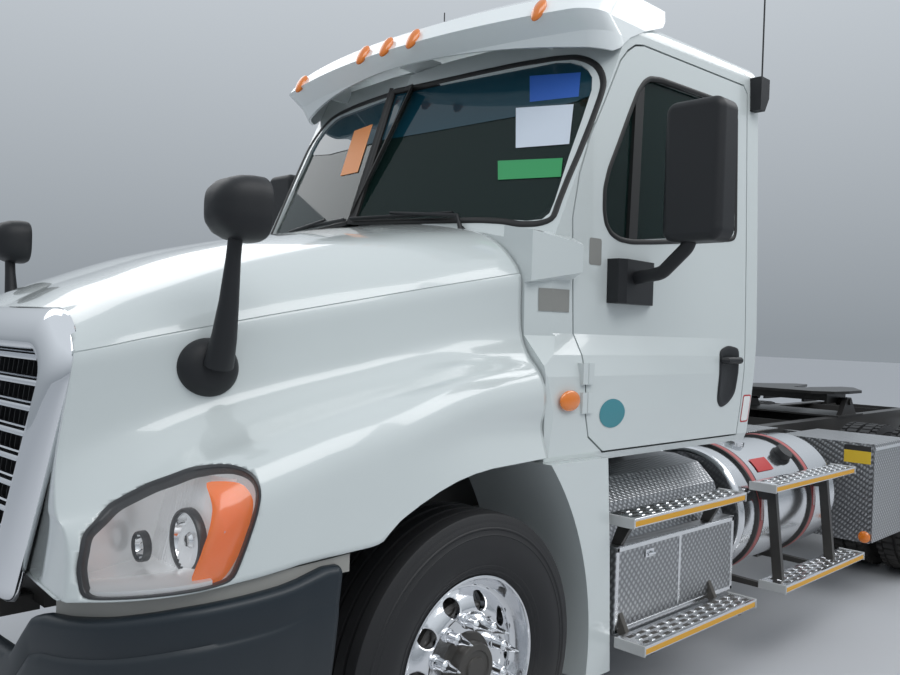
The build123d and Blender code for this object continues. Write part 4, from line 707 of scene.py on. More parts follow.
def with_nose(half):
    """Adds the front face between the hood's front edge and the grille surround."""
    edge = half[-1]
    target_y = np.minimum(edge[:, 1], FACE_Y + (edge[:, 2] - FACE_LOW) * FACE_FLARE)
    target_z = np.minimum(edge[:, 2], FACE_TOP)
    rows = []
    for share, ahead in ((0.03, 0.003), (0.12, 0.002), (0.5, -0.008), (1.0, -0.024)):
        row = edge.copy()
        row[:, 1] += (target_y - edge[:, 1]) * share
        row[:, 2] += (target_z - edge[:, 2]) * share
        row[:, 0] += ahead * np.clip((edge[:, 1] - target_y) / 0.1, 0, 1)
        rows.append(row[None])
    return np.concatenate([half, *rows], 0)


def both_sides(half):
    """Whole hood from its left half: the mirrored side first, joined along the middle."""
    other = half[:, :0:-1] * np.array([1, -1, 1])
    return np.concatenate([other, half], 1)


paint_white = finish("white_paint", (0.60, 0.645, 0.64), 0.22, drift=0.03, scale=1.5, dust=0.10, dust_top=1.0,
                     coat=1.0)
hood_points = both_sides(with_lip(with_nose(hood_half))) + np.array([AXLE_X, 0, 0])
hood_skin = mesh_object("hood_skin", grid(hood_points), smooth=50.0)


def thickened(piece, thick):
    """Gives a sheet its wall, on the side away from its faces."""
    wall = piece.modifiers.new("wall", "SOLIDIFY")
    wall.thickness = thick
    wall.offset = -1.0


thickened(hood_skin, HOOD_THICK)
hood_skin.data.materials.append(paint_white)
# Headlight outline on the hood's flank, X and Z, from the nose up, back and down
LAMP_EDGE = ((1.178, 0.908), (1.180, 0.978), (1.158, 1.055), (1.086, 1.120), (1.000, 1.178), (0.918, 1.217),
             (0.860, 1.230), (0.825, 1.226), (0.803, 1.203), (0.801, 1.164), (0.818, 1.104), (0.851, 1.016),
             (0.880, 0.949), (0.938, 0.936), (1.066, 0.920), (1.160, 0.909))
LAMP_INNER_Y = 0.742


def closed_curve(points, count, rounds=3):
    """Closed outline resampled to equal steps and softened."""
    points = np.asarray(points, float)
    loop = np.vstack([points, points[:1]])
    run = run_of(loop)
    at = np.linspace(0, run[-1], count, endpoint=False)
    line = np.stack([np.interp(at, run, loop[:, k]) for k in range(points.shape[1])], -1)
    for _ in range(rounds):
        line = line * 0.5 + (np.roll(line, 1, 0) + np.roll(line, -1, 0)) * 0.25
    return line


def prism_y(outline, y0, y1):
    """Solid with an outline in X and Z, from y0 to y1."""
    rows = [np.stack([outline[:, 0], 0 * outline[:, 0] + y, outline[:, 1]], -1) for y in (y0, y0, y1, y1)]
    for k in (0, 3):
        rows[k] = np.broadcast_to(rows[k].mean(0), rows[k].shape)
    return grid(np.array(rows), close_v=True)


def settled(piece):
    """Applies a piece's modifiers for good and turns its faces outwards."""
    bpy.context.view_layer.update()
    mesh = bpy.data.meshes.new_from_object(piece.evaluated_get(bpy.context.evaluated_depsgraph_get()))
    piece.modifiers.clear()
    work = bmesh.new()
    work.from_mesh(mesh)
    bmesh.ops.recalc_face_normals(work, faces=work.faces)
    work.to_mesh(mesh)
    work.free()
    piece.data = mesh


def cut_out(piece, *parts):
    """Cuts solid parts out of a piece for good."""
    settled(piece)
    for part in parts:
        cutter = mesh_object("cutter", part)
        cut = piece.modifiers.new("cut", "BOOLEAN")
        cut.operation, cut.solver, cut.object = "DIFFERENCE", "MANIFOLD", cutter
        settled(piece)
        bpy.data.objects.remove(cutter)


hood_tree = BVHTree.FromPolygons(*[a.tolist() for a in grid(both_sides(hood_half))])


def on_hood(x, z, sink=0.0):
    """Point of the left flank's outer face at X and Z, moved inwards by sink."""
    hit, normal, _, _ = hood_tree.ray_cast((x, 2.0, z), (0, -1, 0))
    if hit is None:
        hit, normal, _, _ = hood_tree.find_nearest((x, 0.9, z))
    if normal.y < 0:
        normal = -normal
    return np.array(hit - normal * sink)


lamp_line = closed_curve(LAMP_EDGE, 96)
lamp_hole = moved(prism_y(lamp_line, LAMP_INNER_Y, 1.35), (AXLE_X, 0, 0))
cut_out(hood_skin, lamp_hole, mirrored(lamp_hole))
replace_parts(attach(hood_skin, "hood"), "hood_shell")


# Grille. A bright surround, rounded and as deep as the hood's nose, with nine bright blades
# across the opening, a dark screen behind them and the two arms that the hood turns on.
OPENING_TOP = (0.622, 1.545)
OPENING_LOW = (0.508, 0.850)
# how far the surround reaches out of the opening: at the sides low down and high up, below and above
INNER_BAND = (-0.038, -0.038, -0.038, -0.038)
OUTER_BAND = (0.047, 0.088, 0.040, 0.080)
BLADES = 9
NOSE_X = 1.262
NOSE_LEAN = 0.134
NOSE_BOW = 18.0
HINGE_X, HINGE_Z, HINGE_Y = 1.210, 0.735, 0.300


def nose_plane(y, z):
    """X of the grille's front: bowed across and leaned back with height."""
    return NOSE_X - y**2 / NOSE_BOW - (z - 0.9) * NOSE_LEAN


def frame_outline(band, top_round, low_round, per_arc=14, per_edge=10):
    """Closed outline of the opening, grown by a band, its corners rounded. Gives Y and Z."""
    low, high, foot, head = band
    (wt, zt), (wb, zb) = OPENING_TOP, OPENING_LOW
    corners = np.array([(wb + low, zb - foot), (wt + high, zt + head), (-wt - high, zt + head),
                        (-wb - low, zb - foot)])
    rounds = (low_round, top_round, top_round, low_round)
    line = []
    for n, radius in enumerate(rounds):
        corner, before, after = corners[n], corners[n - 1], corners[(n + 1) % 4]
        u = (before - corner) / np.linalg.norm(before - corner)
        v = (after - corner) / np.linalg.norm(after - corner)
        reach = radius / math.tan(math.acos(np.clip(u @ v, -1, 1)) / 2)
        a, b = corner + u * reach, corner + v * reach
        centre = corner + (u + v) / np.linalg.norm(u + v) * math.hypot(reach, radius)
        start = math.atan2(*(a - centre)[::-1])
        sweep = (math.atan2(*(b - centre)[::-1]) - start + math.pi) % (2 * math.pi) - math.pi
        turn = start + sweep * np.linspace(0, 1, per_arc)
        arc = centre + radius * np.stack([np.cos(turn), np.sin(turn)], -1)
        line.append(arc)
    whole = []
    for n, arc in enumerate(line):
        following = line[(n + 1) % 4][0]
        t = np.linspace(0, 1, per_edge + 2)[1:-1, None]
        whole += [arc, arc[-1] + (following - arc[-1]) * t]
    return np.vstack(whole)


def surround():
    """Band between the opening and the hood's edge: rounded forward, deep on both sides."""
    inner, outer = frame_outline(INNER_BAND, 0.085, 0.05), frame_outline(OUTER_BAND, 0.170, 0.04)
    # share of the way out, and distance ahead of the nose
    shape = np.array([(0.0, -0.085), (0.0, -0.030), (0.02, -0.012), (0.07, -0.003), (0.16, 0.0),
                      (0.30, -0.001), (0.45, -0.004), (0.60, -0.009), (0.75, -0.018), (0.88, -0.030),
                      (0.96, -0.040), (1.0, -0.056)])
    share = shape[:, 0][:, None, None]
    flat = inner * (1 - share) + outer * share
    x = nose_plane(flat[..., 0], flat[..., 1]) + shape[:, 1][:, None]
    return grid(np.concatenate([x[..., None], flat], -1)[::-1], close_v=True)


def blade(z, half):
    """One bright blade: a rounded front edge, a step above it and a flat back, bowed with the nose."""
    shape = np.array([(-0.002, -0.011), (0.004, -0.010), (0.008, -0.005), (0.009, 0.001), (0.006, 0.006),
                      (-0.001, 0.008), (-0.012, 0.009), (-0.016, 0.013), (-0.030, 0.014), (-0.046, 0.010),
                      (-0.046, 0.002), (-0.020, -0.004)])
    y = np.linspace(-half, half, 33)[:, None]
    height = z + shape[:, 1][None] + 0 * y
    x = nose_plane(y, height) - 0.030 + shape[:, 0][None]
    return grid(np.stack([x, y + 0 * x, height], -1), close_v=True)


def blades():
    """Blades stacked up the opening, each as wide as the opening is there."""
    low, high = OPENING_LOW[1] + 0.060, OPENING_TOP[1] - 0.060
    parts = []
    for z in np.linspace(low, high, BLADES):
        share = (z - OPENING_LOW[1]) / (OPENING_TOP[1] - OPENING_LOW[1])
        half = OPENING_LOW[0] + (OPENING_TOP[0] - OPENING_LOW[0]) * share - 0.034
        parts.append(blade(z, half))
    return together(parts)


def slab(low, high, bevel=0.003, cuts=3):
    """Block between two corners with rounded edges: a sphere whose eighths are pulled apart."""
    low, high = np.asarray(low, float), np.asarray(high, float)
    half = (high - low) / 2
    bevel = min(bevel, *(half * 0.98))
    quarter = np.linspace(0, math.pi / 2, cuts)
    turn = np.concatenate([quarter + k * math.pi / 2 for k in range(4)])
    east = np.concatenate([np.full(cuts, s) for s in (1, -1, -1, 1)])
    north = np.concatenate([np.full(cuts, s) for s in (1, 1, -1, -1)])
    rise = np.concatenate([quarter - math.pi / 2, quarter])
    up = np.concatenate([np.full(cuts, -1), np.full(cuts, 1)])
    flat = half - bevel
    x = np.cos(rise)[:, None] * np.cos(turn) * bevel + east * flat[0]
    y = np.cos(rise)[:, None] * np.sin(turn) * bevel + north * flat[1]
    z = np.sin(rise)[:, None] * bevel + (up * flat[2])[:, None] + 0 * turn
    ring = np.stack([x, y, z], -1)
    ends = [np.broadcast_to(ring[k].mean(0), ring[k].shape)[None] for k in (0, -1)]
    ring = np.concatenate([ends[0], ring, ends[1]], 0) + (low + high) / 2
    return grid(ring, close_v=True)


def rod(path, radius, around=12):
    """Round bar along a path of points, closed at its ends. The radius may differ at each point."""
    path = np.asarray(path, float)
    radius = np.broadcast_to(np.asarray(radius, float), (len(path),))
    along = np.gradient(path, axis=0)
    along /= np.linalg.norm(along, axis=1)[:, None]
    side = np.cross(along[0], (0.3, 0.2, 1.0) if abs(along[0][2]) < 0.9 else (1.0, 0.2, 0.1))
    frames = []
    for direction in along:
        side = side - direction * (side @ direction)
        side /= np.linalg.norm(side)
        frames.append((side, np.cross(direction, side)))
    turn = np.linspace(0, 2 * math.pi, around, endpoint=False)
    rings = [p + r * (np.cos(turn)[:, None] * a + np.sin(turn)[:, None] * b)
             for p, r, (a, b) in zip(path, radius, frames)]
    first, last = (np.broadcast_to(p, (1, around, 3)) for p in (path[0], path[-1]))
    return grid(np.concatenate([first, np.array(rings), last]), close_v=True)


def hinge_arms():
    """Two flat arms from the surround's foot to the pins on the bumper brackets."""
    parts = []
    for y in (-HINGE_Y, HINGE_Y):
        parts.append(slab((HINGE_X - 0.019, y - 0.019, HINGE_Z), (HINGE_X + 0.019, y + 0.019, 0.800), 0.006))
        for half, radius in ((0.019, 0.020), (0.039, 0.0139)):
            parts.append(rod([(HINGE_X, y - half, HINGE_Z), (HINGE_X, y + half, HINGE_Z)], radius, 24))
    return together(parts)


def at_truck(part):
    """Moves what is measured from the front axle to the truck's own place."""
    return moved(part, (AXLE_X, 0, 0))


def add(name, part, *rest, **more):
    """One finished piece, measured from the front axle."""
    return put(name, at_truck(part), *rest, **more)


surround_skin = add("grille_surround", surround(), chrome, "hood", "bright_chrome", 60.0, ("grille",),
                    tidy=False)
thickened(surround_skin, 0.004)
blade_chrome = finish("blade_chrome", (0.72, 0.74, 0.77), 0.14, metal=1.0, drift=0.08, dust=0.3, scale=8.0)
add("grille_blades", blades(), blade_chrome, "hood", "bright_chrome", 30.0)
screen_black = finish("screen_black", (0.012, 0.013, 0.015), 0.6, dust=0.4, grain_height=0.0012,
                      grain_scale=140.0)
add("hood_hinge_arms", hinge_arms(), chassis_black, "hood", "frame_black", 30.0)


def screen():
    """Dark upright fins behind the blades, set across the opening."""
    parts = []
    for y in np.linspace(-0.56, 0.56, 29):
        half_height = 0.325 if abs(y) < 0.50 else 0.27
        z = np.linspace(1.19 - half_height, 1.19 + half_height, 7)[:, None]
        shape = np.array([(-0.070, -0.002), (-0.070, 0.002), (-0.100, 0.002), (-0.100, -0.002)])
        x = nose_plane(y, z) + shape[:, 0][None]
        parts.append(grid(np.stack([x, y + shape[:, 1][None] + 0 * z, z + 0 * x], -1), close_v=True))
    return together(parts)


add("grille_screen", screen(), screen_black, "hood", "black_plastic", 30.0)


# Bumper. One dark slate moulding with a fine grain: a rounded lip along its top, one soft crease
# below it and a lower middle under the grille. It is bolted to the rail ends.
BUMPER_PLAN = ((1.270, 0.0), (1.268, 0.25), (1.262, 0.500), (1.224, 0.800), (1.130, 1.010), (1.010, 1.120),
               (0.800, 1.196), (0.640, 1.216), (0.500, 1.224))
BUMPER_LOW = 0.330
# length over which the bumper is drawn forward at its cut rear end
END_RUN = 0.22
# place along the bumper from the middle, and the height of its top there
BUMPER_TOP = ((0.0, 0.700), (0.600, 0.700), (0.640, 0.712), (0.700, 0.780), (0.740, 0.825), (0.790, 0.838),
              (0.871, 0.843), (1.022, 0.862), (1.190, 0.888), (1.370, 0.907), (1.530, 0.928), (1.650, 0.951),
              (1.720, 0.950))
plan = np.array(BUMPER_PLAN)
plan_run = run_of(plan)


def bumper_line(at):
    """Points of the bumper's plan at places along it, the way out there and the height of its top."""
    line = curve_through(at, plan_run, plan)
    slope = np.gradient(line, at, axis=0)
    out = np.stack([slope[:, 1], -slope[:, 0]], -1)
    out /= np.linalg.norm(out, axis=1)[:, None]
    return line, out, np.interp(at, *np.array(BUMPER_TOP).T)


def bumper_half():
    """Left half: points[place along the bumper, place down its section]."""
    at = np.concatenate([np.linspace(0, 0.59, 12, endpoint=False),
                         np.linspace(0.59, 0.80, 24, endpoint=False), np.linspace(0.80, plan_run[-1], 46)])
    line, out, top = bumper_line(at)
    crease = np.clip((at - 0.62) / 0.10, 0, 1) * np.clip((1.62 - at) / 0.35, 0, 1)
    # distance in from the plan, and height below the top or share of the height down to the foot
    drop = np.array([0.030, 0.012, 0.004, 0.0, 0.0, 0.004, 0.012, 0.024, 0.060, 0.085, 0.096, 0.102, 0.110,
                     0.130])
    inset = np.array([0.060, 0.058, 0.054, 0.044, 0.026, 0.014, 0.007, 0.005, 0.005, 0.005, 0.0055, 0.0045,
                      0.003, 0.001])
    fold = np.array([0, 0, 0, 0, 0, 0, 0, 0, 0.001, 0.004, 0.0065, 0.002, 0, 0])
    low_share = np.array([0.2, 0.4, 0.6, 0.75, 0.88, 0.95, 0.985, 1.0, 1.0, 0.985])
    low_inset = np.array([0.0, 0.0, 0.003, 0.009, 0.018, 0.028, 0.040, 0.055, 0.070, 0.074])
    z_high = top[:, None] - drop
    span = (top - drop[-1] - BUMPER_LOW)[:, None]
    z_low = top[:, None] - drop[-1] - span * low_share
    z = np.concatenate([z_high, z_low], 1)
    depth = np.concatenate([inset + fold * crease[:, None], np.broadcast_to(low_inset, z_low.shape)], 1)
    x = line[:, :1] - out[:, :1] * depth
    y = line[:, 1:] - out[:, 1:] * depth
    # the rear end is cut along a slope, so low points stop further forward
    slant = np.interp(z, (0.2, 0.5, 0.93), (0.760, 0.660, 0.535))
    ahead = slant + END_RUN * (1 - (END_RUN - np.clip(x - slant, -1, END_RUN)) / 0.34)
    new_x = np.where(x < slant + END_RUN, np.maximum(ahead, slant), x)
    y += np.interp(new_x, plan[::-1, 0], plan[::-1, 1]) - np.interp(x, plan[::-1, 0], plan[::-1, 1])
    return np.stack([new_x, y, z], -1)


bumper_points = bumper_half()
bumper_points = np.concatenate([bumper_points[:0:-1] * np.array([1, -1, 1]), bumper_points], 0)
bumper_slate = finish("bumper_slate", (0.007, 0.014, 0.021), 0.40, drift=0.12, scale=2.0, dust=0.30,
                      dust_top=0.9, grain_scale=600.0, grain_height=0.00025)
bumper_skin = add("bumper_skin", grid(bumper_points), bumper_slate, "chassis", "bumper_plastic", 55.0,
                  ("front_bumper",))
thickened(bumper_skin, 0.006)


# Headlights. A clear cover over a silver housing with two round bowls, a pale ribbed panel and an
# amber strip behind them, in a charcoal rim. One unit on each side, let into the hood's flank.
# Centre and radius of the two bowls, which face forward
BOWLS = (((0.915, 0.962, 1.020), 0.074), ((0.975, 0.818, 0.985), 0.036))
AMBER_EDGE = ((0.915, 1.204), (0.838, 1.200), (0.818, 1.150), (0.832, 1.070), (0.868, 0.995), (0.905, 0.944),
              (0.985, 0.948), (0.958, 1.010), (0.932, 1.079), (0.918, 1.140))
PANEL_X = 0.900
# how far the ledge under the bowls reaches in from the flank, and how far it drops
TONGUE = ((0, 0.02), (0.0, 0.0), (0.02, -0.006), (0.09, -0.008), (0.14, 0.0))
# Outlines of the bowl and its bulb, by radius and depth as shares of the bowl's radius and depth
BOWL = ((1.0, 0.0), (0.97, -0.10), (0.90, -0.34), (0.74, -0.62), (0.50, -0.84), (0.20, -0.94), (0.0, -0.95))
BULB = ((0.0, 0.06), (0.20, 0.04), (0.30, -0.10), (0.30, -0.30), (0.16, -0.42), (0.16, -0.9), (0.0, -0.9))
BOWL_DEPTH = 0.8
# Outline of the ring round a bowl, its depth in metres
BOWL_RING = ((1.0, -0.004), (1.0, 0.006), (1.03, 0.010), (1.13, 0.009), (1.17, 0.003), (1.17, -0.012))
# Rings of the charcoal rim, the cover and the amber strip: share of the outline's size, and depth
RIM_RINGS = ((1.000, 0.012), (0.998, -0.0015), (0.988, -0.0025), (0.965, -0.0015), (0.952, 0.004),
             (0.945, 0.020))
COVER_RINGS = [(share, 0.001) for share in np.linspace(1, 0.02, 12)]
AMBER_RINGS = list(zip(np.linspace(1, 0.02, 4), (0.022, 0.014, 0.012, 0.012)))


def on_flank(outline, rings):
    """Sheet on the hood's flank in rings: each a share of the outline's size, sunk by its own depth."""
    centre = outline.mean(0)
    rows = [[on_hood(*(centre + (p - centre) * share), sink) for p in outline] for share, sink in rings]
    return grid(np.array(rows), close_v=True)


def see_through(name, tint, alpha):
    """Clear or tinted sheet that turns more solid and bright where it is seen at a low angle."""
    material, tree, shader = blank_material(name)
    shader.inputs["Base Color"].default_value = (*tint, 1)
    shader.inputs["Roughness"].default_value = 0.03
    shader.inputs["Specular IOR Level"].default_value = 0.5
    edge = tree.nodes.new("ShaderNodeFresnel")
    edge.inputs["IOR"].default_value = 1.5
    solid = math_of(tree, "ADD", edge.outputs[0], alpha)
    solid.node.use_clamp = True
    tree.links.new(solid, shader.inputs["Alpha"])
    return material


def turned_forward(part):
    """A revolved part whose axis along Y is laid along X."""
    points, quads = part
    return points[:, [1, 0, 2]], quads[:, ::-1]


def lamp_turned(shape, centre, radius, depth, around=48):
    """Round part of the lamp that faces forward, by its outline, radius and depth."""
    profile = np.array(shape) * (radius, depth) + (0, centre[0])
    return turned_forward(revolve(profile, around, (centre[1], 0, centre[2])))


def housing():
    """Walls behind the lamp's rim and the flat inner wall they end at."""
    edge = np.array([on_hood(x, z, 0.006) for x, z in lamp_line])
    rows = []
    for share in (0.0, 0.15, 0.4, 0.7, 1.0):
        row = edge.copy()
        row[:, 1] += (LAMP_INNER_Y + 0.004 - row[:, 1]) * share
        row[:, 0] += (lamp_line[:, 0].mean() - row[:, 0]) * 0.06 * share
        rows.append(row)
    rows.append(np.broadcast_to(rows[-1].mean(0), rows[-1].shape))
    return grid(np.array(rows), close_v=True)


def ribbed_panel():
    """Upright panel with fine ribs that carries the bowls."""
    y = np.linspace(0.752, 1.060, 90)
    z = np.linspace(0.925, 1.190, 5)
    yy, zz = np.meshgrid(y, z, indexing="ij")
    ribs = 0.004 * np.sin(yy * 2 * math.pi / 0.014)
    x = PANEL_X + ribs - (zz - 1.02) * 0.25 - np.maximum(yy - 0.98, 0) * 0.3
    return grid(np.stack([x, yy, zz], -1))


def tongue():
    """Bright ledge along the lower front of the lamp, ahead of the bowls."""
    x = np.linspace(0.93, 1.17, 12)
    rows = []
    for at in x:
        outer = on_hood(at, np.interp(at, (0.93, 1.17), (0.955, 0.925)), 0.010)
        rows.append([outer - np.array([0, reach, drop]) for reach, drop in TONGUE])
    return grid(np.array(rows))


# The glow on the silver housing and the pale panel is painted light: it stands in for the brightness of the
# light that they reflect.
lamp_silver_painted_glow = finish("lamp_silver_painted_glow", (0.82, 0.83, 0.84), 0.22, metal=0.45, drift=0.10, scale=20.0, dust=0.0,
                     glow=0.10)
lamp_pale_painted_glow = finish("lamp_pale_painted_glow", (0.80, 0.81, 0.82), 0.28, metal=0.25, dust=0.0, glow=0.14)
lamp_charcoal = finish("lamp_charcoal", (0.030, 0.031, 0.034), 0.30, dust=0.1)
lamp_amber = finish("lamp_amber", (0.80, 0.17, 0.012), 0.20, dust=0.0, coat=1.0, glow=0.30)
lamp_cover = see_through("lamp_cover", (0.75, 0.78, 0.80), 0.02)
bowl_chrome = finish("bowl_chrome", (0.86, 0.87, 0.88), 0.06, metal=1.0, drift=0.05, dust=0.0)
amber_line = closed_curve(AMBER_EDGE, 48, 2)
bowls = together([lamp_turned(BOWL, centre, radius, radius * BOWL_DEPTH) for centre, radius in BOWLS]
                 + [lamp_turned(BULB, centre, radius, radius * BOWL_DEPTH, 24) for centre, radius in BOWLS])
bowl_rings = together([lamp_turned(BOWL_RING, centre, radius, 1.0) for centre, radius in BOWLS])
cover_line = lamp_line * 0.97 + lamp_line.mean(0) * 0.03
lamp_rows = (("lamp_cover", on_flank(cover_line, COVER_RINGS), lamp_cover),
             ("lamp_rim", on_flank(lamp_line, RIM_RINGS), lamp_charcoal),
             ("lamp_housing", housing(), lamp_silver_painted_glow),
             ("lamp_panel", together([ribbed_panel(), tongue()]), lamp_pale_painted_glow),
             ("lamp_bowls", bowls, bowl_chrome), ("lamp_rings", bowl_rings, lamp_charcoal),
             ("lamp_amber", on_flank(amber_line, AMBER_RINGS), lamp_amber))
for label, part, material in lamp_rows:
    slot = "amber_lens" if label == "lamp_amber" else "lamp_clear"
    covers = ("headlights",) if label == "lamp_cover" else ()
    add(label, paired(part), material, "hood", slot, 40.0, covers, tidy=False)


# Valence. A pale beige panel shows between the bumper's lip and the hood and lamp above it, drawn in a
# darker grey: painted shade for the shadow that it lies in.
# It follows the bumper's plan, set in from its edge, and stays with the bumper when the hood tilts.
# beige panel darkened to grey: painted shade
valence_painted_shade = finish("valence_painted_shade", (0.30, 0.295, 0.275), 0.6, dust=0.3)


def valence():
    """Left half: from inside the bumper's lip up to the hood's edge."""
    line, out, top = bumper_line(np.linspace(0.80, plan_run[-1] - 0.04, 50))
    spot = line - out * 0.045
    low = top - 0.03
    high = np.interp(line[:, 0] - 0.03, *np.array(ARCH_EDGE).T) - 0.010
    return grid(np.array([np.column_stack([spot, low + (high - low) * share]) for share in (0.0, 0.5, 1.0)]))


add("valence", paired(valence()), valence_painted_shade, "chassis", "bumper_plastic", 60.0, tidy=False)


# Cab body in the hood's white paint, with its roof, doors and fender extensions, under a visor whose
# white is drawn brighter than the cab's: painted light for the light on its upward face. It lies where
# the CAD has it. Amber lamps stand along the visor's brow and on the cowl.
dress(paint_white, "cab_shell", "roof_panel", "door_left", "door_right", "fender_extensions")
# visor: the cab's white drawn brighter, painted light for the light falling on its upward face
visor_white_painted_light = finish("visor_white_painted_light", (0.86, 0.90, 0.90), 0.26, drift=0.04, dust=0.05, coat=0.8)
dress(visor_white_painted_light, "sun_visor")
black_plastic = finish("black_plastic", (0.006, 0.007, 0.009), 0.50, dust=0.2, grain_scale=500.0,
                       grain_height=0.0003)
seal_black = finish("seal_black", (0.012, 0.012, 0.012), 0.55, dust=0.1)
dress(black_plastic, "hood_mirrors", "door_mirror_left", "door_mirror_right", "antennas")
tinted = see_through("tinted_glass", (0.012, 0.030, 0.027), 0.42)
dress(tinted, "cab_glass", "door_glass_left", "door_glass_right")
marker_amber = finish("marker_amber", (0.62, 0.16, 0.010), 0.18, dust=0.05, coat=1.0, glow=0.15)
MARKER_Y = (-0.821, -0.177, 0.0, 0.177, 0.821)
MARKER_Z = 2.890
MARKER_LEAN = math.radians(-30)


def oval(centre, half, lean=0.0):
    """Rounded bead with three half lengths, tipped about Y."""
    turn = np.linspace(0, 2 * math.pi, 32, endpoint=False)
    rise = np.linspace(-math.pi / 2, math.pi / 2, 17)[:, None]
    bead = np.stack([np.cos(rise) * np.cos(turn) * half[0], np.cos(rise) * np.sin(turn) * half[1],
                     np.sin(rise) * half[2] + 0 * turn], -1)
    tipped = bead.copy()
    tipped[..., 0] = bead[..., 0] * math.cos(lean) + bead[..., 2] * math.sin(lean)
    tipped[..., 2] = bead[..., 2] * math.cos(lean) - bead[..., 0] * math.sin(lean)
    return grid(tipped + np.array(centre), close_v=True)


def marker_row():
    """Five beads along the visor's brow and one on each side of the cowl."""
    places = [(-0.512 - 0.105 * (y / 0.835) ** 2, y, MARKER_Z) for y in MARKER_Y]
    beads = [oval(place, (0.020, 0.030, 0.058), MARKER_LEAN) for place in places]
    beads += [oval((-0.525, side * 1.112, 1.352), (0.060, 0.014, 0.039)) for side in (1, -1)]
    return together(beads)


add("marker_beads", marker_row(), marker_amber, "chassis", "amber_lens", 60.0, ("marker_lamps",))
tail_red = finish("tail_red", (0.32, 0.008, 0.008), 0.22, dust=0.2, coat=1.0)
dress(tail_red, "tail_lamps")
flap_rubber = finish("flap_rubber", (0.014, 0.014, 0.014), 0.7, dust=0.5)
dress(flap_rubber, "mud_flaps")


# Windshield. Two flat panes in one black rubber seal with a post between them, a dark blue-green
# band along the top, flat coloured patches on the glass and two wipers parked along the foot. The
# blue, pale and green patches on the left pane are painted reflections of the sky and the trees.
PANE_LOW = np.array((-0.323, 0.0, 2.050))
PANE_ALONG = np.array((-0.2299, 0.9729, 0.0227))
PANE_UP = np.array((-0.3972, -0.1151, 0.9105))
PANE_OUT = np.array((0.8885, 0.2003, 0.4129))
# how far the patches and the tinted band lie out of the pane's outer plane
PATCH_OUT, BAND_OUT = -0.0105, -0.011
# Outer edge of the seal, along the pane from the post and up it
SEAL_EDGE = ((0.004, 0.000), (0.689, -0.037), (0.796, -0.050), (0.868, -0.069), (0.950, -0.073),
             (1.007, -0.061), (1.027, -0.039), (1.033, 0.024), (1.053, 0.142), (1.075, 0.247), (1.101, 0.400),
             (1.117, 0.518), (1.121, 0.579), (1.102, 0.640), (1.069, 0.692), (1.017, 0.734), (0.954, 0.763),
             (0.858, 0.775), (0.673, 0.778), (0.484, 0.771), (0.182, 0.755), (0.004, 0.750))


def on_pane(along, up, out=0.0):
    """Points on the left pane, by the distance from the post and up the glass."""
    along, up = np.asarray(along, float)[..., None], np.asarray(up, float)[..., None]
    return PANE_LOW + PANE_ALONG * along + PANE_UP * up + PANE_OUT * np.asarray(out, float)[..., None]


def inset(outline, distance):
    """Closed outline moved inwards by a distance."""
    step = np.roll(outline, -1, 0) - np.roll(outline, 1, 0)
    step /= np.linalg.norm(step, axis=1)[:, None]
    area = np.sum(outline[:, 0] * np.roll(outline[:, 1], -1) - np.roll(outline[:, 0], -1) * outline[:, 1])
    inward = np.stack([-step[:, 1], step[:, 0]], -1) * np.sign(area)
    return outline + inward * distance


def seal(outline, width, place, height=0.006):
    """Rubber bead along a closed outline: rounded, with its inner lip down on the glass."""
    shape = ((0.0, -0.016), (0.0, 0.2), (0.12, 0.75), (0.35, 1.0), (0.65, 0.95), (0.90, 0.4), (1.0, -0.1),
             (1.0, -3.0))
    rows = []
    for share, rise in shape:
        line = inset(outline, width * share)
        rows.append(place(line[:, 0], line[:, 1], rise * height))
    return grid(np.array(rows), close_v=True)


def pane_patch(corners):
    """Four-sided patch on the glass, its corners as along and up."""
    a, b, c, d = np.array(corners, float)
    share = np.linspace(0, 1, 8)
    u, v = share[:, None, None], share[None, :, None]
    spot = (1 - u) * (1 - v) * a + u * (1 - v) * b + u * v * c + (1 - u) * v * d
    return grid(on_pane(spot[..., 0], spot[..., 1], PATCH_OUT))


seal_line = closed_curve(SEAL_EDGE, 160, 1)
pane_seal = seal(seal_line, 0.028, on_pane)
# the post's strip from foot to head, at each edge by its distance along the pane and out of it
post_rows = [[on_pane(s, h, out) for h in (0.0, 0.752)] for s, out in ((0.018, 0.004), (0.0, 0.010))]
post = grid(np.array(post_rows))
add("windshield_seal", paired(together([pane_seal, post])), seal_black, "chassis", "black_plastic", 40.0,
    tidy=False)


def tinted_band():
    """Strip of the glass above a wavy lower edge, just inside the seal."""
    along = np.linspace(0.03, 1.075, 40)
    low = np.interp(along, (0.03, 0.285, 0.64, 0.74, 0.99, 1.06, 1.08),
                    (0.462, 0.470, 0.486, 0.489, 0.522, 0.545, 0.58))
    high = np.interp(along, (0.03, 0.182, 0.484, 0.858, 0.954, 1.017, 1.069, 1.08),
                     (0.726, 0.728, 0.745, 0.748, 0.736, 0.708, 0.664, 0.60))
    share = np.linspace(0, 1, 8)[:, None]
    up = low + (np.maximum(high, low + 0.004) - low) * share
    return grid(on_pane(along + 0 * up, up, BAND_OUT))


band_tint = see_through("band_tint", (0.006, 0.040, 0.060), 0.72)
add("tinted_band", paired(tinted_band()), band_tint, "chassis", "tinted_glass", 60.0, tidy=False)
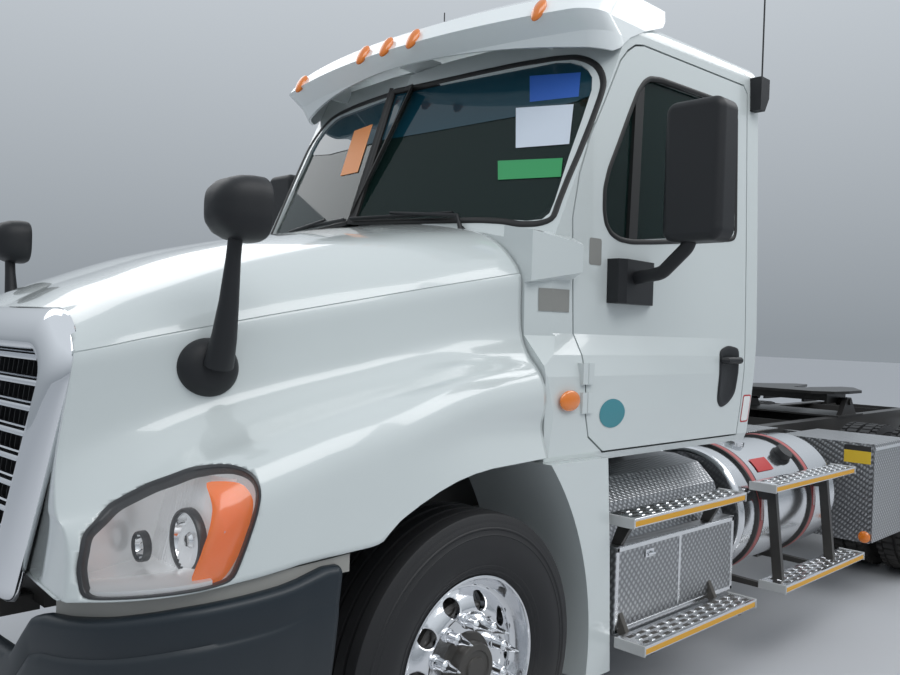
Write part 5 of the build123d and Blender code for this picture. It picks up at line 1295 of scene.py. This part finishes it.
# Patches on the glass: colour, side, then corners from the lower inner one round. The blue, pale
# and green ones are painted reflections of the sky and the trees.
GLASS_PATCHES = (
    ("label_blue", (0.02, 0.10, 0.42), "left",
     ((0.776, 0.556), (1.000, 0.546), (0.985, 0.672), (0.744, 0.699))),
    ("label_pale", (0.60, 0.66, 0.74), "left",
     ((0.763, 0.324), (1.005, 0.312), (0.985, 0.510), (0.715, 0.535))),
    ("label_green", (0.03, 0.30, 0.10), "left",
     ((0.716, 0.173), (1.000, 0.158), (0.990, 0.247), (0.692, 0.269))),
    ("label_orange", (0.70, 0.22, 0.03), "right",
     ((0.217, 0.310), (0.426, 0.316), (0.537, 0.597), (0.322, 0.597))))
for label, color, side, corners in GLASS_PATCHES:
    add(label, on_its_side(pane_patch(corners), side), finish(label, color, 0.5, dust=0.0), "chassis",
        "tinted_glass", 60.0, tidy=False)


def wiper():
    """Arm from a pivot on the cowl, and its blade lying along the foot of the pane."""
    pivot = on_pane(0.62, -0.075, 0.020)
    elbow = on_pane(0.60, -0.020, 0.040)
    tip = on_pane(0.24, 0.030, 0.026)
    blade_line = [on_pane(s, 0.010 + 0.02 * (0.5 - s), 0.014) for s in np.linspace(0.02, 0.56, 9)]
    blade_back = [p + PANE_OUT * 0.010 for p in blade_line]
    return together([rod([pivot, elbow, tip], (0.011, 0.009, 0.006)), rod(blade_line, 0.006, 8),
                     rod(blade_back, 0.005, 8),
                     rod([pivot - PANE_OUT * 0.03, pivot + PANE_OUT * 0.004], 0.017)])


add("wipers", paired(wiper()), black_plastic, "chassis", "black_plastic", 40.0)


# Door trim. A black seal round the window with a post that divides it, a black pull handle in a
# recess, a teal disc, small plain squares and a blank label on the cab behind the door.
CAB_FRONT_X, CAB_BACK_X = -0.640, -1.955
# Z, then Y level with the door's front edge and at the cab's back
CAB_SIDE = ((1.110, 1.080, 1.085), (1.146, 1.096, 1.100), (1.300, 1.103, 1.118), (1.440, 1.096, 1.130),
            (1.520, 1.076, 1.133), (1.600, 1.034, 1.135), (1.700, 1.032, 1.133), (2.020, 1.028, 1.124),
            (2.800, 1.018, 1.098))
WINDOW_EDGE = ((-1.079, 2.692), (-1.035, 2.666), (-0.993, 2.615), (-0.937, 2.509), (-0.875, 2.384),
               (-0.815, 2.267), (-0.789, 2.182), (-0.789, 2.096), (-0.802, 2.041), (-0.839, 1.999),
               (-0.896, 1.979), (-0.978, 1.975), (-1.125, 1.988), (-1.308, 2.008), (-1.715, 2.054),
               (-1.755, 2.066), (-1.770, 2.100), (-1.770, 2.650), (-1.755, 2.692), (-1.715, 2.705),
               (-1.400, 2.705), (-1.159, 2.704))


def on_side(x, z, out=0.0):
    """Points on the cab's left side at X and Z, stood off by out."""
    x, z = np.asarray(x, float), np.asarray(z, float)
    level, front, back = np.array(CAB_SIDE).T
    share = (CAB_FRONT_X - x) / (CAB_FRONT_X - CAB_BACK_X)
    y = np.interp(z, level, front) * (1 - share) + np.interp(z, level, back) * share
    return np.stack([x, y + out, z], -1)


def side_patch(outline, out):
    """Flat sheet on the cab's side inside an outline of X and Z."""
    centre = outline.mean(0)
    rows = [centre + (outline - centre) * share for share in (1, 0.5, 0)]
    return grid(np.array([on_side(r[:, 0], r[:, 1], out) for r in rows]), close_v=True)


def window_trim():
    """Seal, the dividing post and its own two narrow seals."""
    line = closed_curve(WINDOW_EDGE, 180, 1)
    across, out = np.array([-1.052, -1.052, -0.998, -0.998]), np.array([-0.03, -0.006, -0.006, -0.03])
    divider = [on_side(across + shift, np.full(4, z), out) for z, shift in ((1.990, 0.030), (2.640, -0.004))]
    return together([seal(line, 0.022, on_side, 0.005), grid(np.array(divider), close_v=True)])


HANDLE_EDGE = ((-1.627, 1.545), (-1.700, 1.570), (-1.797, 1.556), (-1.797, 1.450), (-1.783, 1.343),
               (-1.730, 1.300), (-1.662, 1.277), (-1.622, 1.310))
# share of the handle plate's size, and how far it stands out there
HANDLE_RINGS = ((1.0, 0.0005), (1.0, 0.003), (0.94, 0.006), (0.80, 0.006), (0.72, 0.0025), (0.0, 0.0025))
# X of the pull and how far it stands out there
HANDLE_PULL = ((-1.775, 0.004), (-1.765, 0.026), (-1.650, 0.026), (-1.640, 0.004))


def handle():
    """Rounded black plate with a raised pull across its upper part."""
    line = closed_curve(HANDLE_EDGE, 48, 2)
    rows = []
    for share, out in HANDLE_RINGS:
        spot = line.mean(0) + (line - line.mean(0)) * share
        rows.append(on_side(spot[:, 0], spot[:, 1], out))
    pull = [on_side(x, 1.500, out) for x, out in HANDLE_PULL]
    return together([grid(np.array(rows), close_v=True), rod(pull, (0.014, 0.016, 0.016, 0.014), 10)])


def oval_line(x, z, half_x, half_z, count):
    """Oval outline in X and Z."""
    turn = np.linspace(0, 2 * math.pi, count, endpoint=False)
    return np.stack([x + half_x * np.cos(turn), z + half_z * np.sin(turn)], -1)


def square_on_side(x0, x1, z0, z1, out):
    """Sheet with slightly rounded corners on the cab's side."""
    return side_patch(closed_curve(((x0, z0), (x1, z0), (x1, z1), (x0, z1)), 40, 1), out)


shell_tree = BVHTree.FromObject(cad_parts["cab_shell"], bpy.context.evaluated_depsgraph_get())


def on_cowl(x, z, out):
    """Point on the left side of the cab's own skin at X and Z, stood off by out."""
    hit = shell_tree.ray_cast((x + AXLE_X, 2.0, z), (0, -1, 0))[0]
    return (x, hit.y + out, z)


COWL_X, COWL_Z = (-0.603, -0.458), (1.682, 1.768)
cowl_rows = [[on_cowl(x, z, 0.003) for z in np.linspace(*COWL_Z, 12)] for x in np.linspace(*COWL_X, 40)]
cowl_square = grid(np.array(cowl_rows))
teal = finish("teal_disc", (0.05, 0.23, 0.27), 0.4, dust=0.1)
plate_grey = finish("plate_grey", (0.24, 0.24, 0.225), 0.4, dust=0.1)
label_white = finish("label_white", (0.74, 0.75, 0.74), 0.45, dust=0.1)
label_red = finish("label_red", (0.45, 0.02, 0.02), 0.45, dust=0.1)
add("cowl_squares", paired(cowl_square), plate_grey, "chassis", "white_paint", 40.0)
for side in SIDES:
    door = f"door_{side}"
    disc = side_patch(oval_line(-0.808, 1.292, 0.085, 0.057, 40), 0.0012)
    # name, left part, material and body
    flat_rows = (
        (f"door_disc_{side}", disc, teal, door),
        (f"door_square_{side}", square_on_side(-0.788, -0.715, 1.874, 1.980, 0.0012), plate_grey, door),
        (f"cab_label_edge_{side}", square_on_side(-1.948, -1.872, 1.2, 1.333, 0.001), label_red, "chassis"),
        (f"cab_label_{side}", square_on_side(-1.942, -1.878, 1.207, 1.326, 0.0016), label_white, "chassis"))
    add(f"window_trim_{side}", on_its_side(window_trim(), side), seal_black, door, "black_plastic", 40.0,
        tidy=False)
    add(f"door_handle_{side}", on_its_side(handle(), side), black_plastic, door, "black_plastic", 40.0,
        tidy=False)
    for name, part, material, body in flat_rows:
        add(name, on_its_side(part, side), material, body, "white_paint")


# Interior. A dark grey dashboard and floor, a thin black steering wheel and two seats in dark
# cloth: a crowned cushion and a tall back each, with sewn channels, on a plain pedestal.
cab_grey = finish("cab_grey", (0.075, 0.075, 0.080), 0.6, dust=0.0, grain_scale=300.0, grain_height=0.0004)
dress(cab_grey, "dashboard")
wheel_black = finish("wheel_black", (0.015, 0.015, 0.016), 0.5, dust=0.0)
dress(wheel_black, "steering_wheel")
seat_cloth = finish("seat_cloth", (0.060, 0.060, 0.072), 0.9, drift=0.25, scale=30.0, dust=0.0,
                    grain_scale=900.0, grain_height=0.0006)
SEAT_Y = 0.500
PAD_CHANNELS = 4


def pad(low, high, crown):
    """Cushion between two corners: crowned above, its sides drawn in, with sewn channels across."""
    low, high = np.asarray(low, float), np.asarray(high, float)
    u = np.linspace(-1, 1, 41)
    uu, vv = np.meshgrid(u, u, indexing="ij")
    edge = (1 - uu**6) * (1 - vv**6)
    round_off = np.clip(edge, 0, 1) ** 0.35
    puff = 0.25 + 0.75 * np.abs(np.sin((vv + 1) / 2 * PAD_CHANNELS * math.pi)) ** 0.5
    half = (high - low) / 2
    centre = (high + low) / 2
    draw = 1 - 0.03 * (1 - np.abs(uu * vv))
    x = centre[0] + half[0] * uu * draw
    y = centre[1] + half[1] * vv * draw
    top = centre[2] + half[2] * (round_off - crown * (1 - puff) * round_off - crown * (uu**2 + vv**2) * 0.3)
    base = centre[2] - half[2] * round_off
    return together([grid(np.stack([x, y, top], -1)), grid(np.stack([x, y, base], -1)[:, ::-1])])


def stood_up(part):
    """Pad laid flat turned upright, its upper face forward."""
    points, quads = part
    return points[:, [2, 1, 0]] * np.array([1, 1, -1]), quads[:, ::-1]


def seat_back(y):
    """Tall back that leans rearwards, crowned forward."""
    points, quads = stood_up(pad((-2.300, y - 0.240, -1.760), (-1.610, y + 0.240, -1.590), 0.10))
    points[:, 0] -= (points[:, 2] - 1.610) * 0.14
    return points, quads


for label, y in (("left", SEAT_Y), ("right", -SEAT_Y)):
    cushion = pad((-1.715, y - 0.245, 1.475), (-1.215, y + 0.245, 1.600), 0.14)
    cushion_piece = add(f"seat_cushion_{label}", cushion, seat_cloth, "chassis", "seat_cloth", 60.0)
    back_piece = add(f"seat_back_{label}", seat_back(y), seat_cloth, "chassis", "seat_cloth", 60.0)
pedestals = [slab((-1.640, y - 0.190, 1.138), (-1.280, y + 0.190, 1.480), 0.015) for y in (SEAT_Y, -SEAT_Y)]
add("seat_pedestals", together(pedestals), cab_grey, "chassis", "cab_plastic", 35.0, ("seats",))


# Hood mirrors. A small bowl, rounded to a square, with a flat glass at its back, on a tapered arm
# and an oval foot. They tilt with the hood. The foot and arm lie where the CAD has them.
MIRROR_HEAD = (0.782, 0.937, 1.918)
MIRROR_WIDE = 1.08
SQUARING = 3.2
# radius and distance forward of the bowl and the glass
MIRROR_BOWL = ((0.0, 0.086), (0.030, 0.082), (0.056, 0.068), (0.076, 0.044), (0.088, 0.012), (0.092, -0.020),
               (0.092, -0.050), (0.088, -0.058), (0.082, -0.058), (0.080, -0.052))
MIRROR_GLASS = ((0.081, -0.054), (0.040, -0.050), (0.0, -0.048))
# share of the foot's size and depth of each ring, up from the hood's flank
FOOT_RINGS = ((1.03, 0.004), (1.03, -0.004), (0.98, -0.014), (0.86, -0.028), (0.66, -0.038), (0.40, -0.044),
              (0.0, -0.046))


def mirror_part(shape):
    """Round part of the mirror's head, pushed out towards a rounded square."""
    points, quads = turned_forward(revolve(shape, 48))
    around = np.arctan2(points[:, 2], points[:, 1])
    out = (np.abs(np.cos(around)) ** SQUARING + np.abs(np.sin(around)) ** SQUARING) ** (-1 / SQUARING)
    return points * np.stack([0 * out + 1, out * MIRROR_WIDE, out], -1) + np.array(MIRROR_HEAD), quads


glass_part = mirror_part(MIRROR_GLASS)
mirror_arm = rod([(0.776, 0.850, 1.480), (0.780, 0.885, 1.560), (0.780, 0.905, 1.660), (0.782, 0.925, 1.780),
                  (0.782, 0.935, 1.850)], (0.044, 0.036, 0.028, 0.021, 0.020), 20)
mirror_foot = on_flank(oval_line(0.781, 1.470, 0.084, 0.082, 48), FOOT_RINGS)
mirror_parts = together([mirror_part(MIRROR_BOWL), mirror_arm, mirror_foot])
add("hood_mirror_skins", paired(mirror_parts), black_plastic, "hood", "black_plastic", 50.0,
    ("hood_mirrors",))
mirror_glass = finish("mirror_glass", (0.70, 0.72, 0.74), 0.03, metal=1.0, dust=0.0)
add("hood_mirror_glass", paired(glass_part), mirror_glass, "hood", "black_plastic", 60.0, tidy=False)


# Steps. Two bright treads below the door and two beside the tank, each with slots between
# raised bars, a yellow-orange front strip under a thin bright edge, and pale caps at its ends. The
# slots are flat black blocks in the tread: painted shade for the dark seen through the openings.
STEP_TOP, STEP_LOW = (1.221, 0.893), (1.287, 0.417)
STEP_DEPTH, STEP_THICK = 0.137, 0.037
STEP_RUNS = ((-1.730, -0.812), (-3.055, -2.045))


def diamond_group():
    """Raised lozenges in crossed rows, as rolled into tread plate."""
    group, given, made = group_of(
        "diamond_plate",
        [("Spacing", "NodeSocketFloat", 0.024), ("Height", "NodeSocketFloat", 0.0016)],
        [("Normal", "NodeSocketVector"), ("Mask", "NodeSocketFloat")])
    nodes, links = group.nodes, group.links
    place = nodes.new("ShaderNodeTexCoord")
    split = nodes.new("ShaderNodeSeparateXYZ")
    links.new(place.outputs["Object"], split.inputs[0])

    def calc(kind, *values):
        """Maths node of this group."""
        return math_of(group, kind, *values)

    # two slants that cross on every face, whichever way it looks
    x, y, z = (split.outputs[axis] for axis in "XYZ")
    spacing = given.outputs["Spacing"]
    turns = calc("DIVIDE", x, spacing)
    rise = calc("DIVIDE", calc("ADD", z, calc("MULTIPLY", y, 0.5)), spacing)
    fall = calc("DIVIDE", calc("SUBTRACT", z, calc("MULTIPLY", y, 1.5)), spacing)
    one = calc("SINE", calc("MULTIPLY", calc("ADD", turns, rise), math.pi))
    two = calc("SINE", calc("MULTIPLY", calc("SUBTRACT", turns, fall), math.pi))
    raised = calc("POWER", calc("ABSOLUTE", calc("MULTIPLY", one, two)), 1.6)
    bump = nodes.new("ShaderNodeBump")
    links.new(raised, bump.inputs["Height"])
    links.new(given.outputs["Height"], bump.inputs["Distance"])
    links.new(bump.outputs["Normal"], made.inputs["Normal"])
    links.new(raised, made.inputs["Mask"])
    return group


diamonds = diamond_group()


def plate_finish(name, color, rough, spacing, height):
    """Bright tread plate: metal with raised lozenges."""
    material = finish(name, color, rough, metal=0.9, drift=0.10, scale=6.0, dust=0.25)
    tree = material.node_tree
    shader = tree.nodes["Principled BSDF"]
    raised = tree.nodes.new("ShaderNodeGroup")
    raised.node_tree = diamonds
    raised.inputs["Spacing"].default_value = spacing
    raised.inputs["Height"].default_value = height
    tree.links.new(raised.outputs["Normal"], shader.inputs["Normal"])
    shade = tree.nodes.new("ShaderNodeMapRange")
    shade.inputs["To Min"].default_value = 0.42
    tree.links.new(raised.outputs["Mask"], shade.inputs["Value"])
    mixed = tree.nodes.new("ShaderNodeMix")
    mixed.data_type, mixed.blend_type = "RGBA", "MULTIPLY"
    mixed.inputs["Factor"].default_value = 1.0
    tree.links.new(shader.inputs["Base Color"].links[0].from_socket, mixed.inputs[6])
    tree.links.new(shade.outputs["Result"], mixed.inputs[7])
    tree.links.new(mixed.outputs[2], shader.inputs["Base Color"])
    return material


tread_plate = plate_finish("tread_plate", (0.72, 0.73, 0.74), 0.26, 0.030, 0.0022)
bright_edge = finish("bright_edge", (0.78, 0.79, 0.80), 0.22, metal=1.0, dust=0.1)
step_yellow = finish("step_yellow", (0.66, 0.33, 0.015), 0.5, dust=0.15)
cap_pale = finish("cap_pale", (0.50, 0.51, 0.51), 0.5, dust=0.2)
SLOT_GAP = 0.074
# distance in from the step's outer edge of each row of slots, and from its ends
SLOT_ROWS = (0.030, 0.066, 0.102)
SLOT_END = 0.045
# half length, half width, depth below and height above the tread, edge
SLOT = (0.020, 0.010, 0.004, 0.0006, 0.0005)
BAR = (0.011, 0.012, 0.002, 0.004, 0.003)


def studded(run, y_out, z, block, shifted):
    """Blocks in rows along a tread, staggered: the rows that are shifted start half a gap later."""
    half_x, half_y, below, above, bevel = block
    parts = []
    for row, inward in enumerate(SLOT_ROWS):
        y = y_out - inward
        start = run[0] + SLOT_END + (SLOT_GAP / 2 if row in shifted else 0)
        for x in np.arange(start, run[1] - SLOT_END, SLOT_GAP):
            low, high = (x - half_x, y - half_y, z - below), (x + half_x, y + half_y, z + above)
            parts.append(slab(low, high, bevel, 2))
    return parts


step_sets = {"base": [], "slots": [], "edges": [], "strips": [], "caps": []}
for run in STEP_RUNS:
    for y_out, z in (STEP_TOP, STEP_LOW):
        (x0, x1), y_in, z_low = run, y_out - STEP_DEPTH, z - STEP_THICK
        step_sets["base"] += [slab((x0, y_in, z_low), (x1, y_out, z), 0.004),
                              *studded(run, y_out, z, BAR, (0, 2))]
        # slots as flat black blocks: painted shade for the openings
        step_sets["slots"] += studded(run, y_out, z, SLOT, (1,))
        step_sets["edges"].append(slab((x0, y_out - 0.008, z - 0.008), (x1, y_out + 0.0015, z + 0.0015),
                                       0.001, 2))
        step_sets["strips"].append(slab((x0 + 0.01, y_out - 0.004, z - 0.031),
                                        (x1 - 0.01, y_out + 0.001, z - 0.010), 0.0008, 2))
        step_sets["caps"] += [slab((x - 0.003, y_in - 0.002, z_low - 0.003),
                                   (x + 0.003, y_out + 0.003, z + 0.003), 0.002, 2) for x in run]
step_rows = (("base", bright_edge), ("slots", hub_black), ("edges", polished), ("strips", step_yellow),
             ("caps", cap_pale))
for label, material in step_rows:
    covers = ("steps",) if label == "base" else ()
    add(f"step_{label}", paired(together(step_sets[label])), material, "chassis", "tread_aluminium", 30.0,
        covers)


# Boxes, tanks and deck. The battery box has upright and curved covers of tread plate with bright
# frames and a latch. The tanks are polished, in black bands with a pinkish-red inlay.
dress(tread_plate, "deck_plate")
box_plate = plate_finish("box_plate", (0.66, 0.67, 0.69), 0.30, 0.034, 0.0020)
dress(box_plate, "side_boxes", "toolbox", "toolbox_door")
tank_metal = finish("tank_metal", (0.78, 0.79, 0.81), 0.13, metal=1.0, drift=0.05, scale=6.0, dust=0.2,
                    grain_scale=40.0, grain_height=0.0003)
dress(tank_metal, "fuel_tanks")
strap_black = finish("strap_black", (0.020, 0.020, 0.021), 0.35, dust=0.3)
dress(strap_black, "tank_straps")
strap_pink = finish("strap_pink", (0.42, 0.10, 0.10), 0.5, dust=0.2)
TANK_Y, TANK_Z, STRAP_RADIUS = 0.775, 0.712, 0.337
STRAP_X = (-2.760, -2.130)


def strap_inlay(x):
    """Coloured strip let into the band over the top of the tank and down its outer side."""
    turn = np.radians(np.linspace(-60, 115, 50))
    rows = []
    for offset, out in ((-0.019, -0.002), (-0.018, 0.0015), (0.018, 0.0015), (0.019, -0.002)):
        radius = STRAP_RADIUS + out
        rows.append(np.stack([0 * turn + x + offset, TANK_Y + radius * np.cos(turn),
                              TANK_Z + radius * np.sin(turn)], -1))
    return grid(np.array(rows))


inlays = together([strap_inlay(x) for x in STRAP_X])
add("strap_inlays", paired(inlays), strap_pink, "chassis", "strap_steel", 40.0)
reflector_red = finish("reflector_red", (0.22, 0.006, 0.008), 0.2, dust=0.1, coat=1.0)
reflectors = [slab((x - 0.014, TANK_Y + 0.333, TANK_Z - 0.02), (x + 0.014, TANK_Y + 0.341, TANK_Z + 0.10),
                   0.002, 2) for x in STRAP_X]
add("strap_reflectors", paired(together(reflectors)), reflector_red, "chassis", "red_lens", 30.0)
BATTERY_X, BATTERY_Y, BATTERY_Z = (-1.860, -0.873), 1.100, (0.395, 0.750)


def box_trim():
    """Bright frame round the box's outer face, and the seam of its door."""
    (x0, x1), (z0, z1) = BATTERY_X, BATTERY_Z
    seam = (x0 + x1) / 2
    bars = (((x0 + 0.004, z0 + 0.004), (x0 + 0.024, z1 - 0.004)),
            ((x1 - 0.024, z0 + 0.004), (x1 - 0.004, z1 - 0.004)),
            ((x0 + 0.004, z0 + 0.004), (x1 - 0.004, z0 + 0.022)),
            ((x0 + 0.004, z1 - 0.024), (x1 - 0.004, z1 - 0.004)),
            ((seam - 0.008, z0 + 0.02), (seam + 0.008, z1 - 0.02)))
    y0, y1 = BATTERY_Y - 0.002, BATTERY_Y + 0.004
    return together([slab((a, y0, b), (c, y1, d), 0.002, 2) for (a, b), (c, d) in bars])


def box_latch():
    """Lever latch over a small keeper on the box's outer face."""
    x, y, z = -1.120, BATTERY_Y, 0.690
    return together([slab((x - 0.030, y, z - 0.018), (x + 0.030, y + 0.006, z + 0.018), 0.003, 2),
                     rod([(x - 0.020, y + 0.006, z), (x - 0.014, y + 0.018, z), (x + 0.030, y + 0.014, z)],
                         0.006, 10)])


add("box_trim", paired(box_trim()), bright_edge, "chassis", "tread_aluminium", 30.0)
add("box_latches", paired(box_latch()), chrome, "chassis", "bright_chrome", 30.0)
TOOLBOX_FACE, TOOLBOX_X, TOOLBOX_Z = 1.1953, (-4.030, -3.430), (0.388, 0.990)
lid_bar = slab((TOOLBOX_X[0] + 0.02, TOOLBOX_FACE - 0.001, TOOLBOX_Z[1] - 0.040),
               (TOOLBOX_X[1] - 0.02, TOOLBOX_FACE + 0.004, TOOLBOX_Z[1] - 0.020), 0.002, 2)
add("toolbox_trim", lid_bar, bright_edge, "toolbox_door", "tread_aluminium", 30.0)
label_black = finish("label_black", (0.02, 0.02, 0.02), 0.5, dust=0.1)
label_yellow = finish("label_yellow", (0.72, 0.48, 0.03), 0.5, dust=0.1)
front_face = TOOLBOX_X[1] + 0.0008
for number, material, z0, z1 in ((1, label_black, 0.942, 0.974), (2, label_yellow, 0.866, 0.942)):
    label = slab((front_face - 0.002, 1.018, z0), (front_face, 1.176, z1), 0.0008, 2)
    add(f"toolbox_label_{number}", label, material, "chassis", "tread_aluminium", 30.0)
lamps = together([oval((front_face, 1.154, 0.424), (0.018, 0.036, 0.036)),
                  oval((front_face, 0.671, 0.951), (0.018, 0.034, 0.026))])
add("toolbox_lamps", lamps, marker_amber, "chassis", "amber_lens", 60.0)


TANK_RADIUS = 0.325
CAP_X, CAP_TURN = -2.600, 50.0
LABEL_X, LABEL_TURN = (-2.420, -2.245), (38.0, 52.0)


def on_tank(x, turn, out):
    """Point on the left tank's skin at X and an angle above level, stood off by out."""
    radius = TANK_RADIUS + out
    return (x, TANK_Y + radius * math.cos(math.radians(turn)), TANK_Z + radius * math.sin(math.radians(turn)))


cap = together([rod([on_tank(CAP_X, CAP_TURN, out) for out in (-0.01, 0.012)], 0.056, 24),
                rod([on_tank(CAP_X, CAP_TURN, out) for out in (0.010, 0.046)], (0.050, 0.046), 24)])
add("tank_caps", paired(cap), black_plastic, "chassis", "black_plastic", 30.0)
label_rows = [[on_tank(x, turn, 0.0045) for turn in np.linspace(*LABEL_TURN, 8)] for x in LABEL_X]
tank_label = grid(np.array(label_rows))
add("tank_label", tank_label, label_red, "chassis", "polished_aluminium", 60.0)
